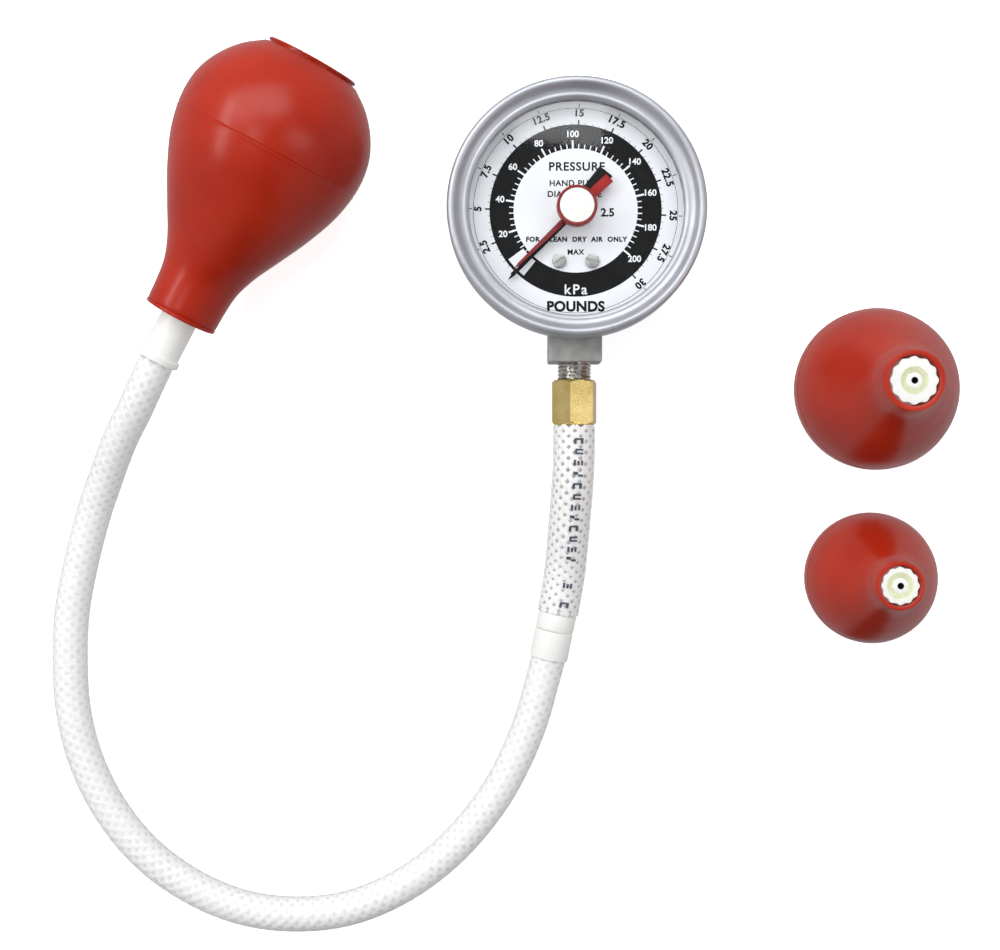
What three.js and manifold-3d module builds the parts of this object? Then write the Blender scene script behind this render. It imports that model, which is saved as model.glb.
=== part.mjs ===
// Squeeze-bulb hand pump with a pressure gauge: a rubber bulb, a braided hose in two lengths
// with an in-line coupling, a round dial gauge with its bourdon-tube movement, and two spare
// bulbs. Units are millimetres. The set lies on the plane z = 0 with the dial facing +Z; the
// origin is the centre of the gauge's back face and the gauge's stem points along -Y.
import * as THREE from "three";
import { mergeVertices } from "three/addons/utils/BufferGeometryUtils.js";
import Module from "manifold-3d";

const wasm = await Module();
wasm.setup();

const GAP = 0.3; // clearance left between two pieces that touch
const REACH = 1; // how far a cutting shape runs past the face it cuts
const DEG = Math.PI / 180;

// Gauge case, window and dial
const CASE = { radius: 31.5, wall: 1.5, back: 2, height: 23, chamfer: 1 };
const BEZEL = { radius: 34.1, bottom: 20.2, lip: 26.8, lipTop: 27.8, top: 30.4, opening: 28.2 };
const BEZEL_BEAD = 1.3; // radius of the bezel's rounded outer edge
const BEZEL_SLOPE = [[31.9, 30], [31.2, 29.1], [30, 28.4], [29.2, 28.3]]; // [radius, height]
const GASKET = { inner: 28.6, outer: 31.4, bottom: 23.3, top: 24.7 };
const CRYSTAL = { radius: 31.2, bottom: 25, top: 26.5, hole: 1.6 };
const DIAL = { radius: 29.6, bottom: 20.2, top: 21, hole: 2 };
const DIAL_SCREW = { x: 4.4, y: -13.5, head: 1.9, headHeight: 0.8, shank: 0.8, tip: 18.2 };
const ZERO_ANGLE = 225 * DEG; // where both pointers stand at zero pressure

// Stem block: a 9/16 inch square bar with a waist in the case wall and a threaded end, and a
// shelf inside the case that carries the movement
const STEM = { half: 7.15, z: 12.5, outerEnd: -40, shoulder: -32, innerEnd: -21.5 };
const STEM_WAIST = { half: 6.5, end: -29.5 };
const SHELF = { start: -28.5, end: -14.5, top: 12 };
const THREAD = { radius: 4.6, core: 3.7, end: -51.5, pitch: 1.8, depth: 0.5 };
const PASSAGE = 1.2; // radius of the air passage through the stem and the fittings
const TUBE_PASSAGE = { radius: 1, z: 11.5 }; // from the stem's passage to the bourdon tube
const CASE_SCREW = { x: 4.3, y: -24.5, head: 2.2, headFrom: 0.2, shank: 1.1, tip: 8, recess: 1.2 };

// Bourdon tube: a flattened tube bent to a C, from the stem's left side round to its free tip
const BOURDON = { radius: 24, bottom: 6.5, top: 13.5, thick: 2.6, wall: 0.5, start: 250.6, end: -15 };
const TIP = { from: -15.9, to: -25.5, bottom: 6.2, top: 13.8 };

// Movement: two plates, a pinion at the gauge's centre, and a toothed sector that turns it
const PLATE = { corner: 3, backBottom: 12.3, backTop: 13.5, frontBottom: 18.7, frontTop: 19.9 };
const PILLARS = { upper: [-3.5, 6.5], lower: [-7.5, -13] };
const PILLAR_RADIUS = 1.8;
const PIVOT = { radius: 0.8, hole: 1.1 };
const MOVEMENT_SCREW = { x: 4.3, y: -18, head: 1.6, headTop: 15, shank: 0.9, hole: 1.2, tip: 8.5 };
const PINION = { pitch: 1.5, teeth: 10, bottom: 14.6, top: 16.4, arborTop: 23.2 };
const SECTOR = { pitch: 15, bottom: 15, top: 16, hub: 2.6, bore: 1.5, tail: 8, pinTop: 17.2 };
const PIVOT_DIRECTION = -49.2 * DEG; // from the gauge's centre to the sector's pivot
const SECTOR_SWING = 27 * DEG;
const TAIL_MIDDLE = -25 * DEG; // the tail's direction half way through the swing
const LINK = { length: 9.5, bottom: 16.3, top: 16.9, end: 1.6, hole: 0.95, pin: 0.6 };
const HAIRSPRING = { inner: 1.3, outer: 4.25, turns: 3.5, width: 0.25, bottom: 16.9, top: 17.4 };
const SPRING_STUD = { x: 5.4, radius: 0.7 };

// Pointers and reset knob. Both needles stand a degree off the zero mark, on either side of it.
const POINTER = {
  bottom: 22.4, top: 22.8, tip: 26, blade: 1, tail: 13, tailHalf: 2.15, hub: 3,
  angle: ZERO_ANGLE + DEG, tailAngle: 52 * DEG,
};
const HUB = { radius: 1.9, neck: 1.5, bottom: 21.6 };
const MAX_POINTER = {
  bottom: 24, top: 24.4, tip: 23, blade: 0.9, tail: 12.1, tailHalf: 1.35, hub: 5.6,
  angle: ZERO_ANGLE - DEG, tailAngle: 43 * DEG,
};
const KNOB = { radius: 5.3, bottom: 27, top: 31, foot: 0.4, crown: 0.3 };
const KNOB_CAP = { radius: 4.5, bottom: 30 }; // white disc let into the knob, flush with its top
const KNOB_SHAFT = { radius: 1.25, collar: 2.4, bottom: 23.4, top: 28.8 };

// Brass hose fitting on the stem: a 7/16 inch hexagon and a hose barb
const HEX = { start: -44.6, length: 12.2, corner: 6.41, turn: -18 * DEG, chamfer: 1, barrel: 7 };
const HEX_SOCKET = { radius: 4.9, depth: 8.5 };

// Hose barbs: the ridges' radius, the radius at the tip and the length
const HEX_BARB = { ridge: 3.1, root: 2.5, tip: 2.4, length: 12 };
const SOCKET_BARB = { ridge: 2.9, tip: 2.4, length: 9 };
const PLUG_BARB = { ridge: 2.5, root: 2.2, tip: 2, length: 9 };
const END_BARB = { ridge: 2.6, root: 2.2, tip: 2, length: 9 };

// Hoses: outer and bore radii, and the long hose's route along the surface and up to the bulb
const SHORT_HOSE = { outer: 5.7, bore: 3.6, steps: 10 };
const LONG_HOSE = { outer: 4.75, bore: 3.3, steps: 30 };
const SHORT_ROUTE = [[-0.3, -70, 12.5], [-1.3, -84, 10.1], [-2.4, -97, 6.8]];
const COUPLING = { start: [-4.2, -107.9, 6], end: [-6.8, -120.6, 5.2], radius: 5.25, chamfer: 0.4 };
const COUPLING_JOINT = { seat: 1.4, rim: 4.9, cavity: 3.5, plug: 3.2, nose: 2.4, noseEnd: 3.1 };
const LONG_ROUTE = [
  [-8.5, -127, 5], [-11.5, -137.5, 5], [-16, -148.5, 5], [-22.5, -160, 5], [-34, -173.5, 5],
  [-47.5, -183.5, 5], [-61.5, -189.3, 5], [-75, -191, 5], [-89, -189.6, 5], [-102.5, -184.6, 5],
  [-116.5, -175, 5], [-127, -162.5, 5], [-134, -148.5, 5], [-137.4, -135, 5], [-138.3, -121, 5],
  [-137.7, -107.5, 5], [-135, -93.5, 5.4], [-131.2, -80, 6.6], [-128.4, -73, 8.5],
  [-125.4, -66.2, 11.2], [-122, -59.5, 14.3], [-118, -52.8, 17.2], [-114.6, -46.3, 19.2],
];

// Rubber bulb, drawn from its neck (0) to its flat foot, as [distance along the axis, radius]
const BULB = { length: 76, foot: 12.8, wall: 3, footWall: 4.5, neckBore: 7.45, neckDepth: 13 };
const BULB_OUTLINE = [
  [0, 9.8], [6, 10], [12, 10.7], [18, 12.8], [25, 16.4], [34, 20.9], [43.5, 24.5],
  [52.7, 25.9], [60, 25], [66, 22.2], [71, 18.1], [74.6, 13.4],
];
const INSERT = { radius: 7.15, lobes: 12, scallop: 0.55, start: 0.5, end: 12.4 };
const SOCKET = { boss: 1.9, outer: 3.4, depth: 6.8, hole: 0.65 }; // ring socket, one size on all bulbs
const LARGE = { neck: [-105.1, -28.3, 21.3], foot: [-69.3, 37.8, 27.9] };
const MEDIUM = { x: 80.2, y: -47.4, scale: 0.832 };
const SMALL = { x: 79.5, y: -97.9, scale: 0.677 };
const END_FITTING = { length: 13.2, flange: 5.7, flangeLength: 1.7, body: 5, sleeve: 3.1, bore: 2.2 };

const FINISH = {
  case: { color: 0x9a9c9c, roughness: 0.45, metalness: 0.9 },
  bezel: { color: 0xb4b6b8, roughness: 0.3, metalness: 1 },
  crystal: { color: 0xf4f8fa, roughness: 0.05, metalness: 0, transparent: true, opacity: 0.25 },
  gasket: { color: 0x8d8f90, roughness: 0.8, metalness: 0 },
  dial: { color: 0xf2f2f0, roughness: 0.5, metalness: 0 },
  stem: { color: 0x8c8c84, roughness: 0.6, metalness: 0.8 },
  brass: { color: 0xd2b06a, roughness: 0.3, metalness: 1 },
  bronze: { color: 0xb07a4a, roughness: 0.4, metalness: 1 },
  steel: { color: 0xa8a9aa, roughness: 0.4, metalness: 1 },
  black: { color: 0x151515, roughness: 0.5, metalness: 0 },
  red: { color: 0xc8231e, roughness: 0.5, metalness: 0 },
  white: { color: 0xf1f0ec, roughness: 0.4, metalness: 0 },
  hose: { color: 0xdfe3e4, roughness: 0.3, metalness: 0, transparent: true, opacity: 0.6 },
  rubber: { color: 0xb8301c, roughness: 0.45, metalness: 0 },
};

// --- Shapes ---

const vector = ([x, y, z]) => new THREE.Vector3(x, y, z);
const polar = (radius, angle) => [radius * Math.cos(angle), radius * Math.sin(angle)];

// A body of revolution about +Z, from [radius, height] points with the solid on their left.
function turned(profile, sides) {
  const points = profile.map(([radius, height]) => new THREE.Vector2(radius, height));
  return new THREE.LatheGeometry(points, sides).rotateX(Math.PI / 2);
}

// The same for a ring, whose profile doesn't meet the axis.
function turnedRing(profile, sides) {
  return turned([...profile, profile[0]], sides);
}

// A round rod or plug along +Z, centred on [x, y].
function rod(radius, bottom, top, [x, y] = [0, 0], sides = 14) {
  const cylinder = new THREE.CylinderGeometry(radius, radius, top - bottom, sides);
  return cylinder.rotateX(Math.PI / 2).translate(x, y, (bottom + top) / 2);
}

function box([x0, x1], [y0, y1], [z0, z1]) {
  const middle = [(x0 + x1) / 2, (y0 + y1) / 2, (z0 + z1) / 2];
  return new THREE.BoxGeometry(x1 - x0, y1 - y0, z1 - z0).translate(...middle);
}

// A flat plate of a shape in the XY plane, between two heights.
function plate(shape, bottom, top, curveSegments = 8) {
  const options = { depth: top - bottom, bevelEnabled: false, curveSegments };
  return new THREE.ExtrudeGeometry(shape, options).translate(0, 0, bottom);
}

function withHoles(shape, ...holes) {
  for (const [radius, [x, y]] of holes) {
    shape.holes.push(new THREE.Path().absarc(x, y, radius, 0, 2 * Math.PI, true));
  }
  return shape;
}

function disc(radius, [x, y] = [0, 0]) {
  return new THREE.Shape().absarc(x, y, radius, 0, 2 * Math.PI, false);
}

// A convex outline round points listed anticlockwise, kept a corner radius away from them.
function roundedHull(points, radius) {
  const shape = new THREE.Shape();
  points.forEach(([x, y], i) => {
    const before = points.at(i - 1);
    const after = points[(i + 1) % points.length];
    const from = Math.atan2(y - before[1], x - before[0]) - Math.PI / 2;
    const turn = Math.atan2(after[1] - y, after[0] - x) - Math.PI / 2 - from;
    const sweep = turn - 2 * Math.PI * Math.floor(turn / (2 * Math.PI));
    shape.absarc(x, y, radius, from, from + sweep, false);
  });
  return shape;
}

// A hollow tube of round section along a smooth curve through the points.
function hollowTube(points, { outer, bore, steps }) {
  const circle = (radius, divisions) => {
    return new THREE.Path().absarc(0, 0, radius, 0, 2 * Math.PI).getPoints(divisions);
  };
  const section = new THREE.Shape(circle(outer, 5));
  section.holes.push(new THREE.Path(circle(bore, 4)));
  return new THREE.ExtrudeGeometry(section, { extrudePath: new THREE.CatmullRomCurve3(points), steps });
}

// --- Joining and cutting ---

function solidOf(geometry) {
  const loose = geometry.index ? geometry.toNonIndexed() : geometry;
  const bare = new THREE.BufferGeometry().setAttribute("position", loose.getAttribute("position"));
  const merged = mergeVertices(bare, 1e-4);
  const vertProperties = merged.getAttribute("position").array;
  const triVerts = new Uint32Array(merged.index.array);
  return new wasm.Manifold(new wasm.Mesh({ numProp: 3, vertProperties, triVerts }));
}

function geometryOf(solid) {
  const { vertProperties, triVerts } = solid.getMesh();
  const geometry = new THREE.BufferGeometry();
  geometry.setAttribute("position", new THREE.BufferAttribute(vertProperties, 3));
  geometry.setIndex(new THREE.BufferAttribute(triVerts, 1));
  return geometry;
}

function join(...geometries) {
  return geometryOf(geometries.map(solidOf).reduce((whole, next) => whole.add(next)));
}

function cut(geometry, ...tools) {
  return geometryOf(tools.map(solidOf).reduce((rest, tool) => rest.subtract(tool), solidOf(geometry)));
}

function overlapOf(first, second) {
  return geometryOf(solidOf(first).intersect(solidOf(second)));
}

// --- Placing ---

const root = new THREE.Group();

function piece(parent, name, geometry, finish) {
  const mesh = new THREE.Mesh(geometry, new THREE.MeshStandardMaterial(FINISH[finish]));
  mesh.name = name;
  parent.add(mesh);
}

// A group at a point whose own +Z looks along a direction.
function groupAlong(origin, direction) {
  const group = new THREE.Group();
  group.position.copy(origin);
  group.quaternion.setFromUnitVectors(new THREE.Vector3(0, 0, 1), direction);
  root.add(group);
  return group;
}

// A screw along +Z with a round head, its head's underside a gap off the face it clamps.
function screw(place, { head, shank, tip }, [headFrom, headTo]) {
  const shankEnds = tip < headFrom ? [tip, headFrom + GAP] : [headTo - GAP, tip];
  return join(rod(head, headFrom, headTo, place), rod(shank, ...shankEnds, place, 10));
}

// --- Gauge housing ---

function gaugeCase() {
  const { radius, wall, back, height, chamfer } = CASE;
  const cup = turned(
    [
      [0, 0], [radius - chamfer, 0], [radius, chamfer], [radius, height],
      [radius - wall, height], [radius - wall, back], [0, back],
    ],
    40,
  );
  const half = STEM.half + GAP;
  const stemWindow = box([-half, half], [-radius - REACH, STEM.innerEnd], [STEM.z - half, STEM.z + half]);
  const screwHoles = [-CASE_SCREW.x, CASE_SCREW.x].flatMap((x) => [
    rod(CASE_SCREW.head + GAP, -REACH, CASE_SCREW.recess, [x, CASE_SCREW.y]),
    rod(CASE_SCREW.shank + GAP, -REACH, back + REACH, [x, CASE_SCREW.y]),
  ]);
  return cut(cup, stemWindow, ...screwHoles);
}

// Outer skirt, rounded bead, hollow slope down to the lip, and the lip over the window.
function bezelRing() {
  const { radius, bottom, lip, lipTop, top, opening } = BEZEL;
  const skirt = CASE.radius + GAP;
  const bead = [0, 45, 90].map((degrees) => {
    const [across, up] = polar(BEZEL_BEAD, degrees * DEG);
    return [radius - BEZEL_BEAD + across, top - BEZEL_BEAD + up];
  });
  const lipPoints = [[opening, lipTop], [opening, lip], [skirt, lip]];
  return turnedRing([[skirt, bottom], [radius, bottom], ...bead, ...BEZEL_SLOPE, ...lipPoints], 40);
}

function buildHousing() {
  piece(root, "gauge_case", gaugeCase(), "case");
  piece(root, "bezel_ring", bezelRing(), "bezel");
  const { inner, outer, bottom, top } = GASKET;
  const gasketSection = [[inner, bottom], [outer, bottom], [outer, top], [inner, top]];
  piece(root, "crystal_gasket", turnedRing(gasketSection, 40), "gasket");
  const windowShape = withHoles(disc(CRYSTAL.radius), [CRYSTAL.hole, [0, 0]]);
  piece(root, "crystal_window", plate(windowShape, CRYSTAL.bottom, CRYSTAL.top, 16), "crystal");
  const screwPlaces = { left: [-DIAL_SCREW.x, DIAL_SCREW.y], right: [DIAL_SCREW.x, DIAL_SCREW.y] };
  const dialShape = withHoles(
    disc(DIAL.radius),
    [DIAL.hole, [0, 0]],
    ...Object.values(screwPlaces).map((place) => [PIVOT.hole, place]),
  );
  piece(root, "dial_plate", plate(dialShape, DIAL.bottom, DIAL.top, 14), "dial");
  for (const [side, place] of Object.entries(screwPlaces)) {
    const headFrom = DIAL.top + GAP;
    const dialScrew = screw(place, DIAL_SCREW, [headFrom, headFrom + DIAL_SCREW.headHeight]);
    piece(root, `dial_screw_${side}`, dialScrew, "steel");
  }
  for (const [side, x] of [["left", -CASE_SCREW.x], ["right", CASE_SCREW.x]]) {
    const caseScrew = screw([x, CASE_SCREW.y], CASE_SCREW, [CASE_SCREW.headFrom, CASE_SCREW.recess - GAP]);
    piece(root, `case_screw_${side}`, caseScrew, "steel");
  }
}

// --- Stem and hose fitting, both along -Y at the stem's height ---

// A turned shape whose own height runs along -Y from the gauge's centre, at the stem's height.
function alongStem(geometry) {
  return geometry.rotateX(Math.PI / 2).translate(0, 0, STEM.z);
}

function stemSocket() {
  const { half, z, outerEnd, shoulder, innerEnd } = STEM;
  const bar = (reach, ends) => box([-reach, reach], ends, [z - reach, z + reach]);
  const block = bar(half, [outerEnd, shoulder]);
  const waist = bar(STEM_WAIST.half, [shoulder - GAP, STEM_WAIST.end + GAP]);
  const inner = bar(half, [STEM_WAIST.end, innerEnd]);
  const shelf = box([-half, half], [SHELF.start, SHELF.end], [CASE.back + GAP, SHELF.top]);
  const ridges = [];
  for (let y = -outerEnd + THREAD.pitch; y < -THREAD.end - THREAD.pitch; y += THREAD.pitch) {
    ridges.push([THREAD.radius, y], [THREAD.radius - THREAD.depth, y + THREAD.pitch / 2]);
  }
  const foot = -outerEnd - REACH;
  const { core, end } = THREAD;
  const thread = alongStem(turned([[0, foot], [core, foot], ...ridges, [core, -end], [0, -end]], 16));
  const tubeY = -Math.sqrt(BOURDON.radius ** 2 - half ** 2);
  const main = alongStem(rod(PASSAGE, -tubeY - 0.5, -end + REACH, [0, 0], 8));
  const cross = rod(TUBE_PASSAGE.radius, -half - REACH, 0, [0, 0], 8)
    .rotateY(Math.PI / 2)
    .translate(0, tubeY, TUBE_PASSAGE.z);
  const movementHole = [MOVEMENT_SCREW.hole, MOVEMENT_SCREW.tip - GAP, SHELF.top + REACH];
  const caseHole = [CASE_SCREW.shank + GAP, 0, CASE_SCREW.tip + GAP];
  const screwHoles = [-1, 1].flatMap((side) => [
    rod(...movementHole, [side * MOVEMENT_SCREW.x, MOVEMENT_SCREW.y]),
    rod(...caseHole, [side * CASE_SCREW.x, CASE_SCREW.y]),
  ]);
  return cut(join(block, waist, inner, shelf, thread), main, cross, ...screwHoles);
}

// A hose barb's outline: ridges that widen away from its tip, as [radius, height] points.
function barbPoints({ ridge, length }, from) {
  const ridges = 3;
  const step = length / ridges;
  const points = [];
  for (let i = 0; i < ridges; i += 1) {
    points.push([ridge, from + i * step], [ridge - 0.5, from + (i + 0.9) * step]);
  }
  return points;
}

function brassFitting() {
  const start = -HEX.start;
  const face = start + HEX.length;
  const corners = [0, 1, 2, 3, 4, 5].map((i) => polar(HEX.corner, HEX.turn + i * 60 * DEG));
  const bar = plate(new THREE.Shape(corners.map(([x, y]) => new THREE.Vector2(x, y))), start, face);
  const flat = HEX.corner * Math.cos(30 * DEG);
  const { chamfer, barrel } = HEX;
  const chamfered = turned(
    [[0, start], [flat, start], [barrel, start + chamfer], [barrel, face - chamfer], [flat, face], [0, face]],
    18,
  );
  const foot = face - REACH;
  const tip = face + REACH + HEX_BARB.length;
  const ridges = barbPoints(HEX_BARB, face + REACH);
  const barb = turned([[0, foot], [HEX_BARB.root, foot], ...ridges, [HEX_BARB.tip, tip], [0, tip]], 14);
  const threadSocket = rod(HEX_SOCKET.radius, start - REACH, start + HEX_SOCKET.depth, [0, 0], 20);
  const passage = rod(PASSAGE, start, tip + REACH, [0, 0], 8);
  return alongStem(cut(join(overlapOf(bar, chamfered), barb), threadSocket, passage));
}

// --- Bourdon tube and movement ---

const pivot = polar(PINION.pitch + SECTOR.pitch, PIVOT_DIRECTION);
const meshDirection = PIVOT_DIRECTION + Math.PI; // from the sector's pivot to the pinion
const tailAtRest = TAIL_MIDDLE - SECTOR_SWING / 2;

const tailPin = polar(SECTOR.tail, tailAtRest).map((offset, i) => pivot[i] + offset);
const tailPinAtFull = polar(SECTOR.tail, tailAtRest + SECTOR_SWING).map((offset, i) => pivot[i] + offset);
const linkDirection = Math.atan2(tailPinAtFull[1] - tailPin[1], tailPinAtFull[0] - tailPin[0]);
const tipPin = polar(LINK.length, linkDirection).map((offset, i) => tailPin[i] + offset);

function bourdonTube() {
  const middle = (BOURDON.bottom + BOURDON.top) / 2;
  const arc = [];
  for (let i = 0; i <= 12; i += 1) {
    const angle = (BOURDON.start + ((BOURDON.end - BOURDON.start) * i) / 12) * DEG;
    arc.push(vector([...polar(BOURDON.radius, angle), middle]));
  }
  const ring = (inset) => {
    const long = (BOURDON.top - BOURDON.bottom) / 2 - inset;
    const short = BOURDON.thick / 2 - inset;
    const nose = 0.9;
    const corners = [
      [long, 0], [long - nose, short], [-long + nose, short],
      [-long, 0], [-long + nose, -short], [long - nose, -short],
    ];
    return corners.map(([x, y]) => new THREE.Vector2(x, y));
  };
  const section = new THREE.Shape(ring(0));
  section.holes.push(new THREE.Path(ring(BOURDON.wall).reverse()));
  return new THREE.ExtrudeGeometry(section, { extrudePath: new THREE.CatmullRomCurve3(arc), steps: 22 });
}

function bourdonTip() {
  const half = BOURDON.thick / 2 + GAP;
  const shape = new THREE.Shape();
  shape.absarc(0, 0, BOURDON.radius + half, TIP.to * DEG, TIP.from * DEG, false);
  shape.absarc(0, 0, BOURDON.radius - half, TIP.from * DEG, TIP.to * DEG, true);
  const block = plate(shape, TIP.bottom, TIP.top, 4);
  const ear = rod(LINK.end, TIP.top - GAP, SECTOR.top, tipPin);
  return join(block, ear, rod(LINK.pin, SECTOR.top - GAP, SECTOR.pinTop, tipPin, 10));
}

function linkRod() {
  const bar = withHoles(roundedHull([tailPin, tipPin], LINK.end), [LINK.hole, tailPin], [LINK.hole, tipPin]);
  return plate(bar, LINK.bottom, LINK.top, 5);
}

// Four corners of a tooth on a wheel: thick at its root and narrow at its tip.
function toothPoints(pitch, angle, [x, y]) {
  const corners = [[-0.4, 0.24], [0.18, 0.07]].map(([height, halfWidth]) => [pitch + height, halfWidth]);
  const [root, tip] = corners;
  const at = ([radius, halfWidth], side) => {
    const [dx, dy] = polar(radius, angle + (side * halfWidth) / radius);
    return new THREE.Vector2(x + dx, y + dy);
  };
  return [at(root, -1), at(tip, -1), at(tip, 1), at(root, 1)];
}

function pinionGear() {
  const teeth = [];
  for (let i = 0; i < PINION.teeth; i += 1) {
    const angle = PIVOT_DIRECTION + (i * 2 * Math.PI) / PINION.teeth;
    teeth.push(...toothPoints(PINION.pitch, angle, [0, 0]));
  }
  const wheel = plate(new THREE.Shape(teeth), PINION.bottom, PINION.top);
  return join(wheel, rod(PIVOT.radius, PLATE.backBottom, PINION.arborTop, [0, 0], 12));
}

function sectorGear() {
  const pitchAngle = (PINION.pitch / SECTOR.pitch) * ((2 * Math.PI) / PINION.teeth);
  const teeth = [];
  for (let k = -9; k <= 1; k += 1) {
    teeth.push(...toothPoints(SECTOR.pitch, meshDirection + (k + 0.5) * pitchAngle, pivot));
  }
  const side = (radius, angle) => {
    const [dx, dy] = polar(radius, angle);
    return new THREE.Vector2(pivot[0] + dx, pivot[1] + dy);
  };
  const first = meshDirection - 9.3 * pitchAngle;
  const last = meshDirection + 2.3 * pitchAngle;
  const rim = SECTOR.pitch - 0.4;
  const fan = new THREE.Shape([
    side(1, first), side(rim, first), ...teeth, side(rim, last), side(1, last), side(1, meshDirection + Math.PI),
  ]);
  const tail = roundedHull([pivot, tailPin], LINK.end);
  const { bottom, top } = SECTOR;
  const hub = disc(SECTOR.hub, pivot);
  const blank = join(plate(fan, bottom, top), plate(hub, bottom, top), plate(tail, bottom, top, 5));
  const bore = rod(SECTOR.bore, bottom - REACH, top + REACH, pivot, 16);
  return join(cut(blank, bore), rod(LINK.pin, SECTOR.top - GAP, SECTOR.pinTop, tailPin, 10));
}

// A round post between the plates with a thinner end through each plate.
function post(waist, place) {
  const { backBottom, backTop, frontBottom, frontTop } = PLATE;
  const ends = rod(PIVOT.radius, backBottom, frontTop, place, 12);
  return join(rod(waist, backTop + GAP, frontBottom - GAP, place), ends);
}

function hairspring() {
  const { inner, outer, turns, width, bottom, top } = HAIRSPRING;
  const steps = turns * 14;
  const edge = (offset) => {
    const points = [];
    for (let i = 0; i <= steps; i += 1) {
      const [x, y] = polar(inner + ((outer - inner) * i) / steps + offset, (i / steps) * turns * 2 * Math.PI);
      points.push(new THREE.Vector2(x, y));
    }
    return points;
  };
  return plate(new THREE.Shape([...edge(width / 2), ...edge(-width / 2).reverse()]), bottom, top);
}

function buildMovement() {
  piece(root, "stem_socket", stemSocket(), "stem");
  piece(root, "brass_hose_fitting", brassFitting(), "brass");
  piece(root, "bourdon_tube", bourdonTube(), "bronze");
  piece(root, "bourdon_tip", bourdonTip(), "brass");
  piece(root, "link_rod", linkRod(), "steel");

  const springStud = [-SPRING_STUD.x, 0];
  const { x: screwX, y: screwY } = MOVEMENT_SCREW;
  const screws = { left: [-screwX, screwY], right: [screwX, screwY] };
  const pillars = Object.values(PILLARS);
  const bearings = [[0, 0], pivot, ...pillars].map((place) => [PIVOT.hole, place]);
  const backShape = withHoles(
    roundedHull([pivot, ...pillars, ...Object.values(screws)], PLATE.corner),
    ...bearings,
    [SPRING_STUD.radius + GAP, springStud],
    ...Object.values(screws).map((place) => [MOVEMENT_SCREW.hole, place]),
  );
  piece(root, "movement_back_plate", plate(backShape, PLATE.backBottom, PLATE.backTop, 5), "brass");
  const frontShape = withHoles(
    roundedHull([pivot, ...pillars], PLATE.corner),
    ...bearings,
    ...[-1, 1].map((side) => [PIVOT.hole, [side * DIAL_SCREW.x, DIAL_SCREW.y]]),
  );
  piece(root, "movement_front_plate", plate(frontShape, PLATE.frontBottom, PLATE.frontTop, 5), "brass");
  piece(root, "pillar_upper", post(PILLAR_RADIUS, PILLARS.upper), "brass");
  piece(root, "pillar_lower", post(PILLAR_RADIUS, PILLARS.lower), "brass");
  for (const [side, place] of Object.entries(screws)) {
    const headSpan = [PLATE.backTop + GAP, MOVEMENT_SCREW.headTop];
    piece(root, `movement_screw_${side}`, screw(place, MOVEMENT_SCREW, headSpan), "steel");
  }
  piece(root, "sector_gear", sectorGear(), "brass");
  piece(root, "sector_arbor", post(SECTOR.bore - GAP, pivot), "steel");
  piece(root, "pinion_gear", pinionGear(), "brass");
  piece(root, "hairspring", hairspring(), "bronze");
  const stud = rod(SPRING_STUD.radius, PLATE.backBottom, HAIRSPRING.top, springStud, 10);
  piece(root, "hairspring_stud", stud, "brass");
}

// --- Pointers and reset knob ---

// A needle pointer: a long tapered blade, a round boss and a short wide tail.
function pointerPlate({ bottom, top, tip, blade, tail, tailHalf, hub, angle, tailAngle }, bore) {
  const neck = 0.45 * blade;
  const shoulder = tip - 2;
  const outline = [[0, -blade], [shoulder, -neck], [tip, 0], [shoulder, neck], [0, blade]];
  const bladeShape = new THREE.Shape(outline.map(([x, y]) => new THREE.Vector2(x, y)));
  const bladePlate = plate(bladeShape, bottom, top).rotateZ(angle);
  const tailPlate = box([0, tail], [-tailHalf, tailHalf], [bottom, top]).rotateZ(tailAngle);
  const boss = rod(hub, bottom, top, [0, 0], 28);
  return cut(join(bladePlate, tailPlate, boss), rod(bore, bottom - REACH, top + REACH, [0, 0], 16));
}

function buildPointers() {
  const bore = PIVOT.radius + GAP;
  const hubNeck = POINTER.bottom - GAP;
  const hubSection = [
    [bore, HUB.bottom], [HUB.radius, HUB.bottom], [HUB.radius, hubNeck], [HUB.neck, hubNeck],
    [HUB.neck, PINION.arborTop], [bore, PINION.arborTop],
  ];
  piece(root, "pointer_hub", turnedRing(hubSection, 16), "brass");
  piece(root, "pointer_black", pointerPlate(POINTER, HUB.neck + GAP), "black");

  const shaft = KNOB_SHAFT;
  const collarTop = MAX_POINTER.bottom - GAP;
  const shaftSection = [
    [0, shaft.bottom], [shaft.collar, shaft.bottom], [shaft.collar, collarTop],
    [shaft.radius, collarTop], [shaft.radius, shaft.top], [0, shaft.top],
  ];
  piece(root, "max_pointer_red", pointerPlate(MAX_POINTER, shaft.radius + GAP), "red");
  piece(root, "knob_shaft", turned(shaftSection, 16), "steel");

  const { radius, bottom, top, foot, crown } = KNOB;
  const holeTop = shaft.top + GAP;
  const holeRadius = shaft.radius + GAP;
  const pocket = KNOB_CAP.radius + GAP;
  const knobSection = [
    [0, holeTop], [holeRadius, holeTop], [holeRadius, bottom], [radius - foot, bottom],
    [radius, bottom + foot], [radius, top - crown], [radius - crown, top], [pocket, top],
    [pocket, KNOB_CAP.bottom], [0, KNOB_CAP.bottom],
  ];
  piece(root, "reset_knob", turned(knobSection, 28), "red");
  piece(root, "knob_cap", rod(KNOB_CAP.radius, KNOB_CAP.bottom, top, [0, 0], 28), "white");
}

// --- Bulbs: each is built along its own +Z, from the neck to the foot ---

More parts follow.
